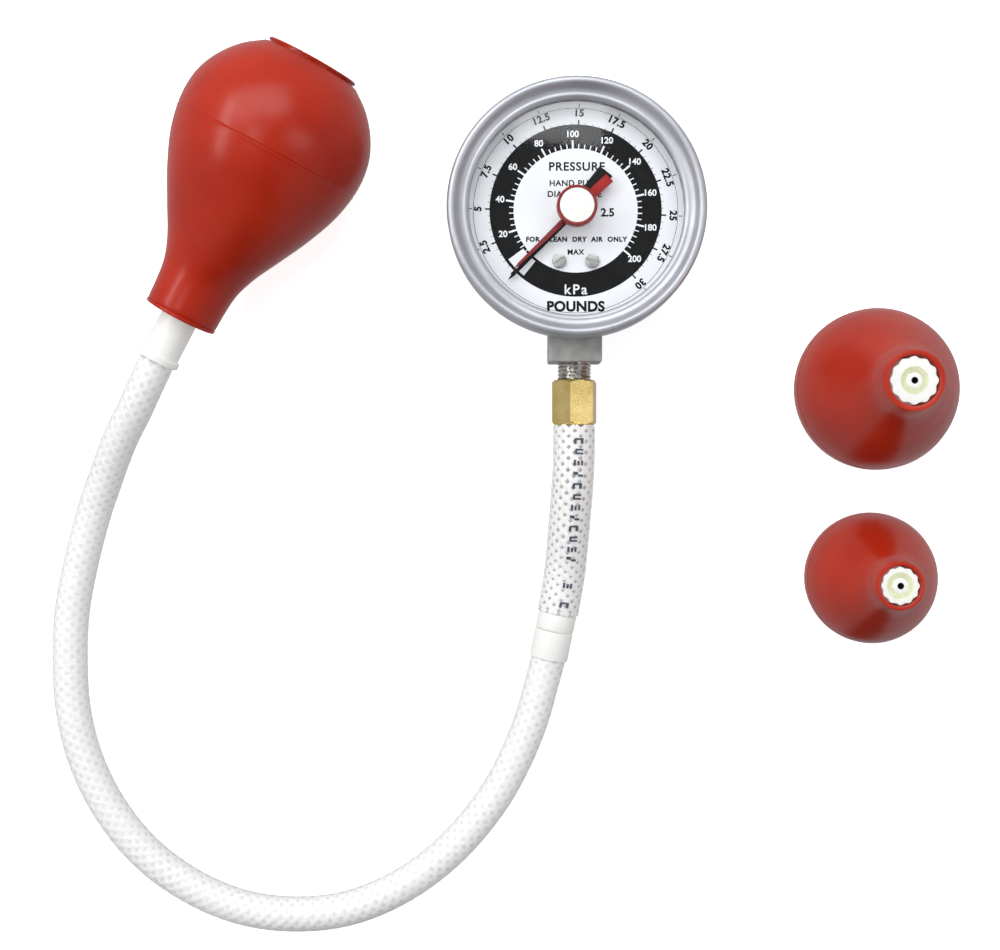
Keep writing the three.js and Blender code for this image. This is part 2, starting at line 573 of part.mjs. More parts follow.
function bulbRubber(scale, sides, outerSteps) {
  const curve = new THREE.SplineCurve(BULB_OUTLINE.map(([along, radius]) => new THREE.Vector2(radius, along)));
  const outer = curve.getPoints(outerSteps).map(({ x, y }) => [x, y]);
  const inner = BULB_OUTLINE.slice(3, -1).map(([along, radius]) => {
    const depth = Math.min(along, BULB.length - BULB.footWall);
    return [radius - BULB.wall, depth];
  });
  const profile = [
    [0, BULB.length - BULB.wall], ...inner.reverse(), [BULB.neckBore, BULB.neckDepth],
    [BULB.neckBore, 0], ...outer, [BULB.foot, BULB.length], [0, BULB.length],
  ];
  return turned(profile.map(([radius, along]) => [radius * scale, along * scale]), sides);
}

// The scalloped plastic insert in the neck, with a ring socket round a central boss.
function neckInsert(scale) {
  const { radius, lobes, scallop, start, end } = INSERT;
  const points = [];
  const perLobe = 4;
  for (let i = 0; i < lobes * perLobe; i += 1) {
    const dip = (scallop * (1 - Math.cos((2 * Math.PI * i) / perLobe))) / 2;
    const [x, y] = polar((radius - dip) * scale, (2 * Math.PI * i) / (lobes * perLobe));
    points.push(new THREE.Vector2(x, y));
  }
  const body = plate(new THREE.Shape(points), start * scale, end * scale);
  const top = start * scale;
  const ring = turnedRing(
    [
      [SOCKET.boss, top - REACH], [SOCKET.outer, top - REACH],
      [SOCKET.outer, top + SOCKET.depth * scale], [SOCKET.boss, top + SOCKET.depth * scale],
    ],
    16,
  );
  return cut(body, ring, rod(SOCKET.hole, top - REACH, end * scale + REACH, [0, 0], 8));
}

// Barb, flange and body of the hose's end fitting, and the sleeve that goes into the bulb's socket.
function hoseEndFitting() {
  const { length, flange, flangeLength, body, sleeve, bore } = END_FITTING;
  const tip = -length - END_BARB.length - REACH;
  const barb = barbPoints(END_BARB, length + GAP).map(([radius, along]) => [radius, -along]);
  const flangeEnd = flangeLength - length;
  const face = INSERT.start - GAP;
  const reach = face + SOCKET.depth - 0.5;
  return turnedRing(
    [
      [PASSAGE, tip], [END_BARB.tip, tip], ...barb.reverse(), [END_BARB.root, -length], [flange, -length],
      [flange, flangeEnd], [body, flangeEnd], [body, face], [sleeve, face], [sleeve, reach],
      [bore, reach], [bore, face - 2], [PASSAGE, face - 2],
    ],
    16,
  );
}

function buildBulbs() {
  const neck = vector(LARGE.neck);
  const large = groupAlong(neck, vector(LARGE.foot).sub(neck).normalize());
  piece(large, "bulb_large", bulbRubber(1, 28, 13), "rubber");
  piece(large, "bulb_large_insert", neckInsert(1), "white");
  piece(large, "hose_end_fitting", hoseEndFitting(), "white");
  for (const [size, { x, y, scale }] of [["medium", MEDIUM], ["small", SMALL]]) {
    const standing = groupAlong(vector([x, y, BULB.length * scale]), new THREE.Vector3(0, 0, -1));
    piece(standing, `bulb_${size}`, bulbRubber(scale, 20, 11), "rubber");
    piece(standing, `bulb_${size}_insert`, neckInsert(scale), "white");
  }
}

// --- Coupling and hoses ---

// Two white halves that meet in a thin groove. A seal ring lies on the seat between them.
function buildCoupling() {
  const start = vector(COUPLING.start);
  const span = vector(COUPLING.end).sub(start);
  const length = span.length();
  const group = groupAlong(start, span.normalize());
  const { radius, chamfer } = COUPLING;
  const { seat, rim, cavity, plug, nose, noseEnd } = COUPLING_JOINT;

  const socketTip = -SOCKET_BARB.length - REACH;
  const socketBarb = barbPoints(SOCKET_BARB, 0).map(([across, along]) => [across, -along]);
  const socketSection = [
    [PASSAGE, socketTip], [SOCKET_BARB.tip, socketTip], ...socketBarb.reverse(), [SOCKET_BARB.tip, GAP],
    [radius - chamfer, GAP], [radius, GAP + chamfer], [radius, rim - chamfer], [radius - chamfer, rim],
    [cavity, rim], [cavity, seat], [PASSAGE, seat],
  ];
  piece(group, "coupling_socket", turnedRing(socketSection, 20), "white");

  const ringSection = [[nose + GAP, seat + GAP], [plug, seat + GAP], [plug, noseEnd], [nose + GAP, noseEnd]];
  piece(group, "coupling_o_ring", turnedRing(ringSection, 16), "black");

  const plugTip = length + PLUG_BARB.length + REACH;
  const plugBarb = barbPoints(PLUG_BARB, length + GAP);
  const plugSection = [
    [PASSAGE, seat + GAP], [nose, seat + GAP], [nose, noseEnd + GAP], [plug, noseEnd + GAP],
    [plug, rim + GAP], [radius - chamfer, rim + GAP], [radius, rim + GAP + chamfer],
    [radius, length - chamfer], [radius - chamfer, length], [PLUG_BARB.root, length], ...plugBarb,
    [PLUG_BARB.tip, plugTip], [PASSAGE, plugTip],
  ];
  piece(group, "coupling_plug", turnedRing(plugSection, 20), "white");
}

// A point on the line through two points, a distance beyond the second one.
function beyond(from, to, distance) {
  const direction = vector(to).sub(vector(from)).normalize();
  return vector(to).addScaledVector(direction, distance);
}

function buildHoses() {
  const hexFace = HEX.start - HEX.length - GAP;
  const { start, end } = COUPLING;
  const shortRoute = [[0, hexFace, STEM.z], ...SHORT_ROUTE, start];
  piece(root, "short_hose", hollowTube(shortRoute.map(vector), SHORT_HOSE), "hose");

  const bulbEnd = beyond(LARGE.foot, LARGE.neck, END_FITTING.length + GAP);
  const longRoute = [beyond(start, end, GAP), ...LONG_ROUTE.map(vector), bulbEnd];
  piece(root, "long_hose", hollowTube(longRoute, LONG_HOSE), "hose");
}

buildHousing();
buildMovement();
buildPointers();
buildBulbs();
buildCoupling();
buildHoses();

export default root;
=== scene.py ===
"""Looks of the squeeze-bulb hand pump with its pressure gauge, hose and spare bulbs.

Lengths below are in millimetres in the row frame; meshes are scaled to metres as they are made.
"""

import math

import bmesh
import bpy
from mathutils import Matrix, Vector


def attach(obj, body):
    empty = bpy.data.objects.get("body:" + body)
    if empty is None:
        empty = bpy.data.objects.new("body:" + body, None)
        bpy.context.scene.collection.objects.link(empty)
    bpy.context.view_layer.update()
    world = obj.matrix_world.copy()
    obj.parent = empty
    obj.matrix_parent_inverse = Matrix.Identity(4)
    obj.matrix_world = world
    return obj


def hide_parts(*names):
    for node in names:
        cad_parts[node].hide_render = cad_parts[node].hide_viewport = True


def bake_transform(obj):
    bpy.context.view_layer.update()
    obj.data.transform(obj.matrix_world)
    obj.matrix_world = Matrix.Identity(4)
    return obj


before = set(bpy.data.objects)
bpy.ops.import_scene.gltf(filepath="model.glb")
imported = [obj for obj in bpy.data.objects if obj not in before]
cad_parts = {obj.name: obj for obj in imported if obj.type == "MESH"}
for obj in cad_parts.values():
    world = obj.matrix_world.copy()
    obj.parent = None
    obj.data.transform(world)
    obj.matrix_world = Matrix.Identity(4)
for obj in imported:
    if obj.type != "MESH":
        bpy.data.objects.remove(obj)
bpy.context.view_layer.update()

MM = 0.001
TURN = 2 * math.pi
SCENE = bpy.context.scene

# --- Sizes shared with the CAD ---
CASE_RADIUS, CASE_WALL, CASE_BACK, CASE_HEIGHT = 31.5, 1.5, 2.0, 23.0
CASE_SCREW_X, CASE_SCREW_Y = 4.3, -24.5
WINDOW_RADIUS, WINDOW_HOLE, WINDOW_BOTTOM, WINDOW_TOP = 31.2, 1.6, 25.0, 26.5
STEM_Z = 12.5
STEM_HALF = 7.15  # half the width of the stem's square bar
STEM_END, STEM_SHOULDER, STEM_WAIST, STEM_INNER = -40.0, -32.0, -29.5, -21.5
SHELF_START, SHELF_END, SHELF_TOP = -28.5, -14.5, 12.0
THREAD_START, THREAD_END, THREAD_CORE = 39.0, 51.5, 3.7
BORE = 1.2  # radius of the air passage through the stem and the fittings
ZERO_ANGLE = 225.0  # degrees, where the needles rest
SCALE_START, SWEEP = 224.5, 273.0  # degrees: the printed scale's zero, and its turn clockwise
FULL_PSI = 30.0
KPA_PER_PSI = 6.8948
DIAL_RADIUS, DIAL_HOLE, DIAL_BOTTOM, DIAL_TOP = 29.6, 2.0, 20.2, 21.0
DIAL_SCREWS = [(-4.4, -13.5), (4.4, -13.5)]
BLACK_BOTTOM, BLACK_TOP = 22.4, 22.8  # the black pointer's two faces
RED_BOTTOM, RED_TOP = 24.0, 24.4  # the red pointer's two faces
KNOB_RADIUS, KNOB_BOTTOM, KNOB_TOP = 5.3, 27.0, 31.0
CAP_RADIUS, CAP_BOTTOM = 4.5, 30.0
HEX_START, HEX_LENGTH, HEX_CORNER, HEX_TURN = 44.6, 12.2, 6.41, -18.0
HEX_FACE = -(HEX_START + HEX_LENGTH + 0.3)
COUPLING_START = Vector((-4.2, -107.9, 6.0))
COUPLING_END = Vector((-6.8, -120.6, 5.2))
SHORT_ROUTE = [(-0.3, -70, 12.5), (-1.3, -84, 10.1), (-2.4, -97, 6.8)]
LONG_ROUTE = [
    (-8.5, -127, 5), (-11.5, -137.5, 5), (-16, -148.5, 5), (-22.5, -160, 5), (-34, -173.5, 5),
    (-47.5, -183.5, 5), (-61.5, -189.3, 5), (-75, -191, 5), (-89, -189.6, 5), (-102.5, -184.6, 5),
    (-116.5, -175, 5), (-127, -162.5, 5), (-134, -148.5, 5), (-137.4, -135, 5), (-138.3, -121, 5),
    (-137.7, -107.5, 5), (-135, -93.5, 5.4), (-131.2, -80, 6.6), (-128.4, -73, 8.5),
    (-125.4, -66.2, 11.2), (-122, -59.5, 14.3), (-118, -52.8, 17.2), (-114.6, -46.3, 19.2),
]
BULB_LENGTH = 76.0
BULB_OUTLINE = [  # (radius, distance from the neck)
    (9.8, 0), (10, 6), (10.7, 12), (12.8, 18), (16.4, 25), (20.9, 34), (24.5, 43.5),
    (25.9, 52.7), (25, 60), (22.2, 66), (18.1, 71), (13.4, 74.6),
]
PARTING_LINE = 49.8  # where the two halves of the bulb's mould met
RUBBER_WALL = 3.0
NECK_BORE, FOOT_INSIDE = 7.45, 71.5  # the cavity's radius in the neck, and its length
INSERT_RADIUS, INSERT_TOP, INSERT_END = 7.15, 0.5, 12.4  # its ends are measured from the bulb's mouth
INSERT_SOCKET = 6.8  # depth of the ring socket round the insert's boss
SCALLOPS, SCALLOP_DEPTH = 12, 0.55
NECK = Vector((-105.1, -28.3, 21.3))
FOOT = Vector((-69.3, 37.8, 27.9))
SPARES = {"medium": (80.2, -47.4, 0.832), "small": (79.5, -97.9, 0.677)}  # x, y and scale
SPARE_SLIMMER = 0.8  # how much less the spares' mouths measure than the large one's, before scaling
END_FITTING_LENGTH = 13.2
LONG_HOSE = {"skin": 4.75, "braid": 4.42, "core": 4.35, "bore": 3.3}  # radii
SHORT_HOSE = {"skin": 5.7, "braid": 5.2, "core": 5.1, "bore": 3.6}
HOSE_SPACING = 1.4  # between the rings of a hose's mesh
HOSE_GAP = 0.3  # between a hose's end and what it meets
BOURDON = {"radius": 24.0, "start": 250.6, "turn": -265.6, "z": 10.0, "high": 3.5, "thick": 1.3}


# --- Camera: straight down over the set, as the photograph was taken ---
camera_data = bpy.data.cameras.new("camera")
camera_data.lens = 62.7
camera_data.sensor_width = 36.0
camera_data.clip_start = 0.01
camera = bpy.data.objects.new("camera", camera_data)
camera.location = (-0.0201, -0.0703, 0.484)
SCENE.collection.objects.link(camera)
SCENE.camera = camera
SCENE.view_settings.view_transform = "Standard"


# --- Materials ---
def new_material(name):
    material = bpy.data.materials.new(name)
    material.use_nodes = True
    return material, material.node_tree, material.node_tree.nodes["Principled BSDF"]


def noise_on(tree, scale, detail=3.0, stretch=(1, 1, 1)):
    """A noise texture in object space, stretched along the axes."""
    coords = tree.nodes.new("ShaderNodeTexCoord")
    mapping = tree.nodes.new("ShaderNodeMapping")
    mapping.inputs["Scale"].default_value = stretch
    noise = tree.nodes.new("ShaderNodeTexNoise")
    noise.inputs["Scale"].default_value = scale
    noise.inputs["Detail"].default_value = detail
    tree.links.new(coords.outputs["Object"], mapping.inputs["Vector"])
    tree.links.new(mapping.outputs["Vector"], noise.inputs["Vector"])
    return noise.outputs["Fac"]


def ramp_on(tree, factor, dark, light, low=0.3, high=0.7):
    ramp = tree.nodes.new("ShaderNodeValToRGB")
    ramp.color_ramp.elements[0].position = low
    ramp.color_ramp.elements[1].position = high
    ramp.color_ramp.elements[0].color = (*dark, 1)
    ramp.color_ramp.elements[1].color = (*light, 1)
    tree.links.new(factor, ramp.inputs["Fac"])
    return ramp.outputs["Color"]


def surface(name, dark, light, roughness, tone=60.0, grain=2500.0, bump=0.05, stretch=(1, 1, 1), **values):
    """A Principled material whose colour, roughness and fine bump vary over the surface."""
    material, tree, shader = new_material(name)
    tree.links.new(ramp_on(tree, noise_on(tree, tone, 4.0), dark, light), shader.inputs["Base Color"])
    spread = tree.nodes.new("ShaderNodeMapRange")
    spread.inputs["To Min"].default_value = roughness[0]
    spread.inputs["To Max"].default_value = roughness[1]
    tree.links.new(noise_on(tree, tone * 3, 5.0, stretch), spread.inputs["Value"])
    tree.links.new(spread.outputs["Result"], shader.inputs["Roughness"])
    relief = tree.nodes.new("ShaderNodeBump")
    relief.inputs["Strength"].default_value = bump
    relief.inputs["Distance"].default_value = 0.0002
    tree.links.new(noise_on(tree, grain, 2.0, stretch), relief.inputs["Height"])
    tree.links.new(relief.outputs["Normal"], shader.inputs["Normal"])
    for socket, value in values.items():
        shader.inputs[socket.replace("_", " ")].default_value = value
    return material


def clear_surface(name, tint, gloss_roughness, face_gloss, haze=None):
    """A thin clear skin: what is behind shows through, and the surface adds its gloss.

    The gloss is face_gloss seen straight on and grows to a mirror's at a grazing angle.
    """
    material, tree, shader = new_material(name)
    output = tree.nodes["Material Output"]
    tree.nodes.remove(shader)
    through = tree.nodes.new("ShaderNodeBsdfTransparent")
    through.inputs["Color"].default_value = (*tint, 1)
    gloss = tree.nodes.new("ShaderNodeBsdfGlossy")
    gloss.inputs["Roughness"].default_value = gloss_roughness
    slant = tree.nodes.new("ShaderNodeLayerWeight")
    slant.inputs["Blend"].default_value = 0.5
    steep = tree.nodes.new("ShaderNodeMath")
    steep.operation = "POWER"
    steep.inputs[1].default_value = 5.0
    tree.links.new(slant.outputs["Facing"], steep.inputs[0])
    glossiness = tree.nodes.new("ShaderNodeMapRange")
    glossiness.inputs["To Min"].default_value = face_gloss
    tree.links.new(steep.outputs["Value"], glossiness.inputs["Value"])
    mix = tree.nodes.new("ShaderNodeMixShader")
    tree.links.new(glossiness.outputs["Result"], mix.inputs["Fac"])
    body = through.outputs["BSDF"]
    if haze:
        color, low, high = haze
        milk = tree.nodes.new("ShaderNodeBsdfDiffuse")
        milk.inputs["Color"].default_value = (*color, 1)
        amount = tree.nodes.new("ShaderNodeMapRange")
        amount.inputs["To Min"].default_value = low
        amount.inputs["To Max"].default_value = high
        tree.links.new(noise_on(tree, 500.0, 3.0), amount.inputs["Value"])
        hazy = tree.nodes.new("ShaderNodeMixShader")
        tree.links.new(amount.outputs["Result"], hazy.inputs["Fac"])
        tree.links.new(body, hazy.inputs[1])
        tree.links.new(milk.outputs["BSDF"], hazy.inputs[2])
        body = hazy.outputs["Shader"]
    tree.links.new(body, mix.inputs[1])
    tree.links.new(gloss.outputs["BSDF"], mix.inputs[2])
    tree.links.new(mix.outputs["Shader"], output.inputs["Surface"])
    return material


RED_RUBBER = surface(
    "red_rubber", (0.41, 0.017, 0.004), (0.53, 0.031, 0.009), (0.25, 0.34), tone=45, grain=1800,
    bump=0.05, Specular_IOR_Level=0.34,
)
BEZEL_METAL = surface(
    "bezel_metal", (0.50, 0.51, 0.55), (0.61, 0.62, 0.66), (0.38, 0.5), tone=90, bump=0.04, Metallic=0.65,
)
CASE_METAL = surface(
    "case_metal", (0.33, 0.34, 0.34), (0.42, 0.43, 0.43), (0.38, 0.5), tone=70, bump=0.08, Metallic=0.9,
)
STEM_METAL = surface(
    "stem_metal", (0.36, 0.36, 0.34), (0.56, 0.56, 0.53), (0.42, 0.6), tone=260, grain=1400, bump=0.25,
    stretch=(1, 6, 1), Metallic=0.35,
)
THREAD_METAL = surface(
    "thread_metal", (0.50, 0.49, 0.46), (0.68, 0.67, 0.64), (0.2, 0.34), tone=300, bump=0.06, Metallic=1.0,
)
BRASS = surface(
    "brass", (0.74, 0.55, 0.18), (0.90, 0.70, 0.30), (0.2, 0.34), tone=220, grain=1800, bump=0.08,
    stretch=(1, 8, 1), Metallic=1.0,
)
MOVEMENT_BRASS = surface(
    "movement_brass", (0.60, 0.40, 0.14), (0.78, 0.55, 0.22), (0.3, 0.45), tone=240, bump=0.1, Metallic=1.0,
)
BRONZE = surface(
    "spring_bronze", (0.52, 0.27, 0.12), (0.66, 0.38, 0.19), (0.3, 0.45), tone=200, bump=0.08, Metallic=1.0,
)
STEEL = surface(
    "screw_steel", (0.44, 0.43, 0.41), (0.59, 0.58, 0.55), (0.3, 0.46), tone=400, bump=0.1, Metallic=1.0,
)
# Painted light: the dial's white glows a little (emission), so the recessed dial and its white print stay
# bright.
GLOWING_DIAL_WHITE = surface(
    "glowing_dial_white", (0.90, 0.91, 0.93), (0.94, 0.95, 0.97), (0.38, 0.5), tone=120, bump=0.02,
    Emission_Color=(0.98, 0.98, 1, 1), Emission_Strength=0.2,
)
INK_BLACK = surface(
    "ink_black", (0.004, 0.004, 0.004), (0.009, 0.009, 0.008), (0.5, 0.62), tone=200, bump=0.02,
    Specular_IOR_Level=0.12,
)
POINTER_BLACK = surface(
    "pointer_black", (0.004, 0.004, 0.005), (0.012, 0.011, 0.011), (0.45, 0.6), tone=260, bump=0.04,
    Specular_IOR_Level=0.15,
)
POINTER_RED = surface(
    "pointer_red", (0.40, 0.009, 0.008), (0.50, 0.016, 0.012), (0.4, 0.54), tone=260, bump=0.04,
    Specular_IOR_Level=0.3,
)
HUB_RED = surface(
    "hub_red", (0.24, 0.008, 0.010), (0.34, 0.014, 0.014), (0.4, 0.5), tone=260, bump=0.04,
)
# Painted light: the white plastic glows a little (emission), so the fittings, inserts and knob cap stay near
# white.
GLOWING_WHITE_PLASTIC = surface(
    "white_plastic", (0.84, 0.84, 0.80), (0.90, 0.90, 0.87), (0.3, 0.42), tone=150, bump=0.03,
    Emission_Color=(1, 1, 0.97, 1), Emission_Strength=0.12,
)
# Painted shade and glow for the ring socket round each insert's boss: a greyer, greener tone stands in for
# the shade in the deep groove, and a glow (emission) stands in for light through the white plastic.
SOCKET_PAINTED_SHADE_GLOW = surface(
    "socket_painted_shade_glow", (0.74, 0.75, 0.62), (0.82, 0.83, 0.70), (0.5, 0.6), tone=300, bump=0.04,
    Emission_Color=(0.8, 0.81, 0.68, 1), Emission_Strength=0.22,
)
# Near-black rubber of the coupling's seal, also put in the inserts' bores as painted shade.
SEAL_RUBBER_AND_BORE_SHADE = surface(
    "seal_rubber", (0.012, 0.012, 0.012), (0.03, 0.03, 0.03), (0.5, 0.65), tone=300, bump=0.1,
)
GASKET_RUBBER = surface(
    "gasket_rubber", (0.22, 0.22, 0.22), (0.32, 0.32, 0.32), (0.55, 0.7), tone=300, bump=0.1,
)
# Painted light: the hose's yarn glows a little (emission), so the hoses stay bright.
GLOWING_HOSE_YARN = surface(
    "glowing_hose_yarn", (0.92, 0.92, 0.92), (0.97, 0.97, 0.96), (0.5, 0.7), tone=500, grain=6000, bump=0.3,
    Emission_Color=(1, 1, 0.98, 1), Emission_Strength=0.13,
)
# Painted light: the long hose's core glows a little (emission), so it stays bright.
GLOWING_HOSE_CORE = surface(
    "glowing_hose_core", (0.76, 0.76, 0.75), (0.88, 0.88, 0.88), (0.3, 0.45), tone=150, bump=0.04,
    Emission_Color=(1, 1, 0.99, 1), Emission_Strength=0.1,
)
HOSE_INK = surface(
    "hose_ink", (0.035, 0.04, 0.075), (0.10, 0.11, 0.16), (0.4, 0.55), tone=900, bump=0.02,
)
CLEAR_WINDOW = clear_surface("clear_window", (0.98, 0.985, 0.99), 0.04, 0.021)
CLEAR_SLEEVE = clear_surface(
    "clear_sleeve", (0.98, 0.98, 0.98), 0.2, 0.017, haze=((0.95, 0.95, 0.95), 0.1, 0.3),
)
CLEAR_CORE = clear_surface(
    "clear_core", (0.93, 0.93, 0.92), 0.2, 0.017, haze=((0.85, 0.85, 0.8), 0.15, 0.35),
)


# --- Mesh building ---
def piece(name, mesh, body, materials, replaces=(), sharp=32.0):
    """A piece of the object from a bmesh in millimetres, shaded smooth up to a sharp angle.

    It rides on its body, or on none when no body is given.
    """
    bmesh.ops.recalc_face_normals(mesh, faces=mesh.faces)
    limit = math.radians(sharp)
    for edge in mesh.edges:
        edge.smooth = len(edge.link_faces) != 2 or edge.calc_face_angle(0) < limit
    for face in mesh.faces:
        face.smooth = True
    mesh.transform(Matrix.Scale(MM, 4))
    data = bpy.data.meshes.new(name)
    mesh.to_mesh(data)
    mesh.free()
    for material in materials:
        data.materials.append(material)
    made = bpy.data.objects.new(name, data)
    SCENE.collection.objects.link(made)
    if body:
        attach(made, body)
    if replaces:
        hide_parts(*replaces)
    return made


def bridge(mesh, first, second, material=0):
    """Faces between two rings of vertices. A ring of one vertex is a point."""
    count = max(len(first), len(second))
    for i in range(count):
        corners = [first[i % len(first)], first[(i + 1) % len(first)]]
        corners += [second[(i + 1) % len(second)], second[i % len(second)]]
        unique = list(dict.fromkeys(corners))
        if len(unique) > 2:
            mesh.faces.new(unique).material_index = material


def lathe(mesh, profile, segments=96, place=Matrix.Identity(4), shape=None, ring=False, material=0):
    """A body turned about its own Z from (radius, height) points. shape changes a radius by angle."""
    rings = []
    for radius, height in profile:
        vertices = []
        for i in range(1 if radius == 0 else segments):
            angle = TURN * i / segments
            reach = shape(radius, height, angle) if shape else radius
            spot = Vector((reach * math.cos(angle), reach * math.sin(angle), height))
            vertices.append(mesh.verts.new(place @ spot))
        rings.append(vertices)
    for first, second in zip(rings, rings[1:] + (rings[:1] if ring else [])):
        bridge(mesh, first, second, material)


def rounded(profile, radius, steps=3, ring=False):
    """The profile with its corners cut back by a radius and bent round."""
    points = [Vector(point) for point in profile]
    bent = []
    for i, corner in enumerate(points):
        if not ring and i in (0, len(points) - 1):
            bent.append(tuple(corner))
            continue
        before = points[i - 1] - corner
        after = points[(i + 1) % len(points)] - corner
        start = corner + before.normalized() * min(radius, before.length / 2.01)
        end = corner + after.normalized() * min(radius, after.length / 2.01)
        for step in range(steps + 1):
            t = step / steps
            bent.append(tuple(start.lerp(corner, t).lerp(corner.lerp(end, t), t)))
    return bent


def catmull_rom(a, b, c, d, share):
    """A point between b and c on the centripetal Catmull-Rom curve through four points."""
    t1 = math.sqrt((b - a).length)
    t2 = t1 + math.sqrt((c - b).length)
    t3 = t2 + math.sqrt((d - c).length)
    t = t1 + (t2 - t1) * share
    ab = a.lerp(b, t / t1)
    bc = b.lerp(c, (t - t1) / (t2 - t1))
    cd = c.lerp(d, (t - t2) / (t3 - t2))
    abc = ab.lerp(bc, t / t2)
    bcd = bc.lerp(cd, (t - t1) / (t3 - t1))
    return abc.lerp(bcd, share)


def smooth_curve(points, spacing):
    """Points a spacing apart on a smooth curve through the given ones."""
    points = [Vector(point) for point in points]
    padded = [2 * points[0] - points[1], *points, 2 * points[-1] - points[-2]]
    fine = []
    for four in zip(padded, padded[1:], padded[2:], padded[3:]):
        fine += [catmull_rom(*four, step / 24) for step in range(24)]
    fine.append(points[-1])
    lengths = [0.0]
    for p, q in zip(fine, fine[1:]):
        lengths.append(lengths[-1] + (q - p).length)
    count = round(lengths[-1] / spacing)
    even = []
    j = 0
    for i in range(count + 1):
        target = lengths[-1] * i / count
        while j < len(fine) - 2 and lengths[j + 1] < target:
            j += 1
        share = (target - lengths[j]) / (lengths[j + 1] - lengths[j])
        even.append(fine[j].lerp(fine[j + 1], min(share, 1.0)))
    return even


def frames_along(points):
    """Each point with two directions across the line there, the first as upright as it can be."""
    frames = []
    for i, point in enumerate(points):
        ahead = (points[min(i + 1, len(points) - 1)] - points[max(i - 1, 0)]).normalized()
        up = Vector((0, 0, 1))
        up = (up - ahead * up.dot(ahead)).normalized()
        frames.append((point, up, ahead.cross(up)))
    return frames


def ring_at(mesh, place, radius, sides):
    point, up, side = place
    angles = [TURN * i / sides for i in range(sides)]
    return [mesh.verts.new(point + radius * (up * math.cos(a) + side * math.sin(a))) for a in angles]


def tube(mesh, places, outer, bore, sides, material):
    """A hollow tube along the places, its two ends closed between the outer and bore radii."""
    rings = [ring_at(mesh, place, outer, sides) for place in places]
    rings += [ring_at(mesh, place, bore, sides) for place in reversed(places)]
    for first, second in zip(rings, rings[1:] + rings[:1]):
        bridge(mesh, first, second, material)


def skin(mesh, places, radius, core, sides, material):
    """A tube's clear outer skin, drawn in to its core at both ends."""
    rings = [ring_at(mesh, places[0], core, sides)]
    rings += [ring_at(mesh, place, radius, sides) for place in places]
    rings.append(ring_at(mesh, places[-1], core, sides))
    for first, second in zip(rings, rings[1:]):
        bridge(mesh, first, second, material)


def yarn(mesh, places, radius, start, turn, width, thickness, material):
    """One flat yarn wound round a tube: turn is its angle in each millimetre along it."""
    spacing = (places[1][0] - places[0][0]).length
    line = []
    for i, (point, up, side) in enumerate(places):
        angle = start + turn * spacing * i
        out = up * math.cos(angle) + side * math.sin(angle)
        line.append((point + radius * out, out))
    rings = []
    for i, (point, out) in enumerate(line):
        along = line[min(i + 1, len(line) - 1)][0] - line[max(i - 1, 0)][0]
        across = along.cross(out).normalized() * width / 2
        lift = out * thickness / 2
        rings.append([mesh.verts.new(point + step) for step in (across, lift, -across, -lift)])
    for first, second in zip(rings, rings[1:]):
        bridge(mesh, first, second, material)
    for end in (rings[0], rings[-1]):
        mesh.faces.new(end).material_index = material


def braid(mesh, places, radius, strands, pitch, width, material):
    """Yarns wound both ways round a tube, crossing every pitch along it."""
    turn = TURN / (strands * pitch)
    for i in range(strands):
        yarn(mesh, places, radius, TURN * i / strands, turn, width, 0.3, material)
        yarn(mesh, places, radius + 0.16, TURN * i / strands, -turn, width, 0.3, material)


def block(mesh, spans, bevel=0.0):
    """A box between the low and high ends on each axis, with its edges bevelled."""
    corners = bmesh.ops.create_cube(mesh, size=1.0)["verts"]
    for corner in corners:
        corner.co = [low + (share + 0.5) * (high - low) for share, (low, high) in zip(corner.co, spans)]
    if bevel:
        edges = list({edge for corner in corners for edge in corner.link_edges})
        bmesh.ops.bevel(mesh, geom=edges, offset=bevel, segments=2, profile=0.6, affect="EDGES")


def slab(mesh, outline, bottom, top, bevel=0.0):
    """A flat plate of an outline in the XY plane, its upper edge bevelled."""
    face = mesh.faces.new([mesh.verts.new((x, y, bottom)) for x, y in outline])
    raised = bmesh.ops.extrude_face_region(mesh, geom=[face])["geom"]
    lifted = [item for item in raised if isinstance(item, bmesh.types.BMVert)]
    for vertex in lifted:
        vertex.co.z = top
    if bevel:
        edges = [item for item in raised if isinstance(item, bmesh.types.BMEdge)]
        bmesh.ops.bevel(mesh, geom=edges, offset=bevel, segments=1, affect="EDGES")


def carved(mesh, tool):
    """The body with the tool's body cut out of it."""
    bodies = []
    for source in (mesh, tool):
        bmesh.ops.recalc_face_normals(source, faces=source.faces)
        data = bpy.data.meshes.new("carving")
        source.to_mesh(data)
        source.free()
        bodies.append(bpy.data.objects.new("carving", data))
        SCENE.collection.objects.link(bodies[-1])
    cutting = bodies[0].modifiers.new("cut", "BOOLEAN")
    cutting.object = bodies[1]
    cutting.solver = "EXACT"
    view = bpy.context.evaluated_depsgraph_get()
    result = bmesh.new()
    result.from_mesh(bodies[0].evaluated_get(view).to_mesh())
    for body in bodies:
        bpy.data.objects.remove(body)
    return result


def polar(radius, degrees):
    angle = math.radians(degrees)
    return radius * math.cos(angle), radius * math.sin(angle)


def placed(origin, direction):
    """The matrix that stands a shape's own Z along a direction at an origin."""
    return Matrix.Translation(origin) @ direction.to_track_quat("Z", "Y").to_matrix().to_4x4()


def barb(radius, start, length, tip):
    """A hose barb's (radius, distance) points: three ridges that narrow towards the tip."""
    points = []
    for i in range(3):
        points += [(radius, start + length * i / 3), (radius - 0.5, start + length * (i + 0.9) / 3)]
    return points + [(tip, start + length + 1)]


# --- Hoses: clear sleeves over a crossed yarn braid. They come first, then what is on them. ---
coupling_axis = (COUPLING_END - COUPLING_START).normalized()
bulb_axis = (FOOT - NECK).normalized()
ON_BULB = placed(NECK, bulb_axis)
ON_COUPLING = placed(COUPLING_START, coupling_axis)
ALONG_STEM = Matrix.Translation((0, 0, STEM_Z)) @ Matrix.Rotation(math.pi / 2, 4, "X")


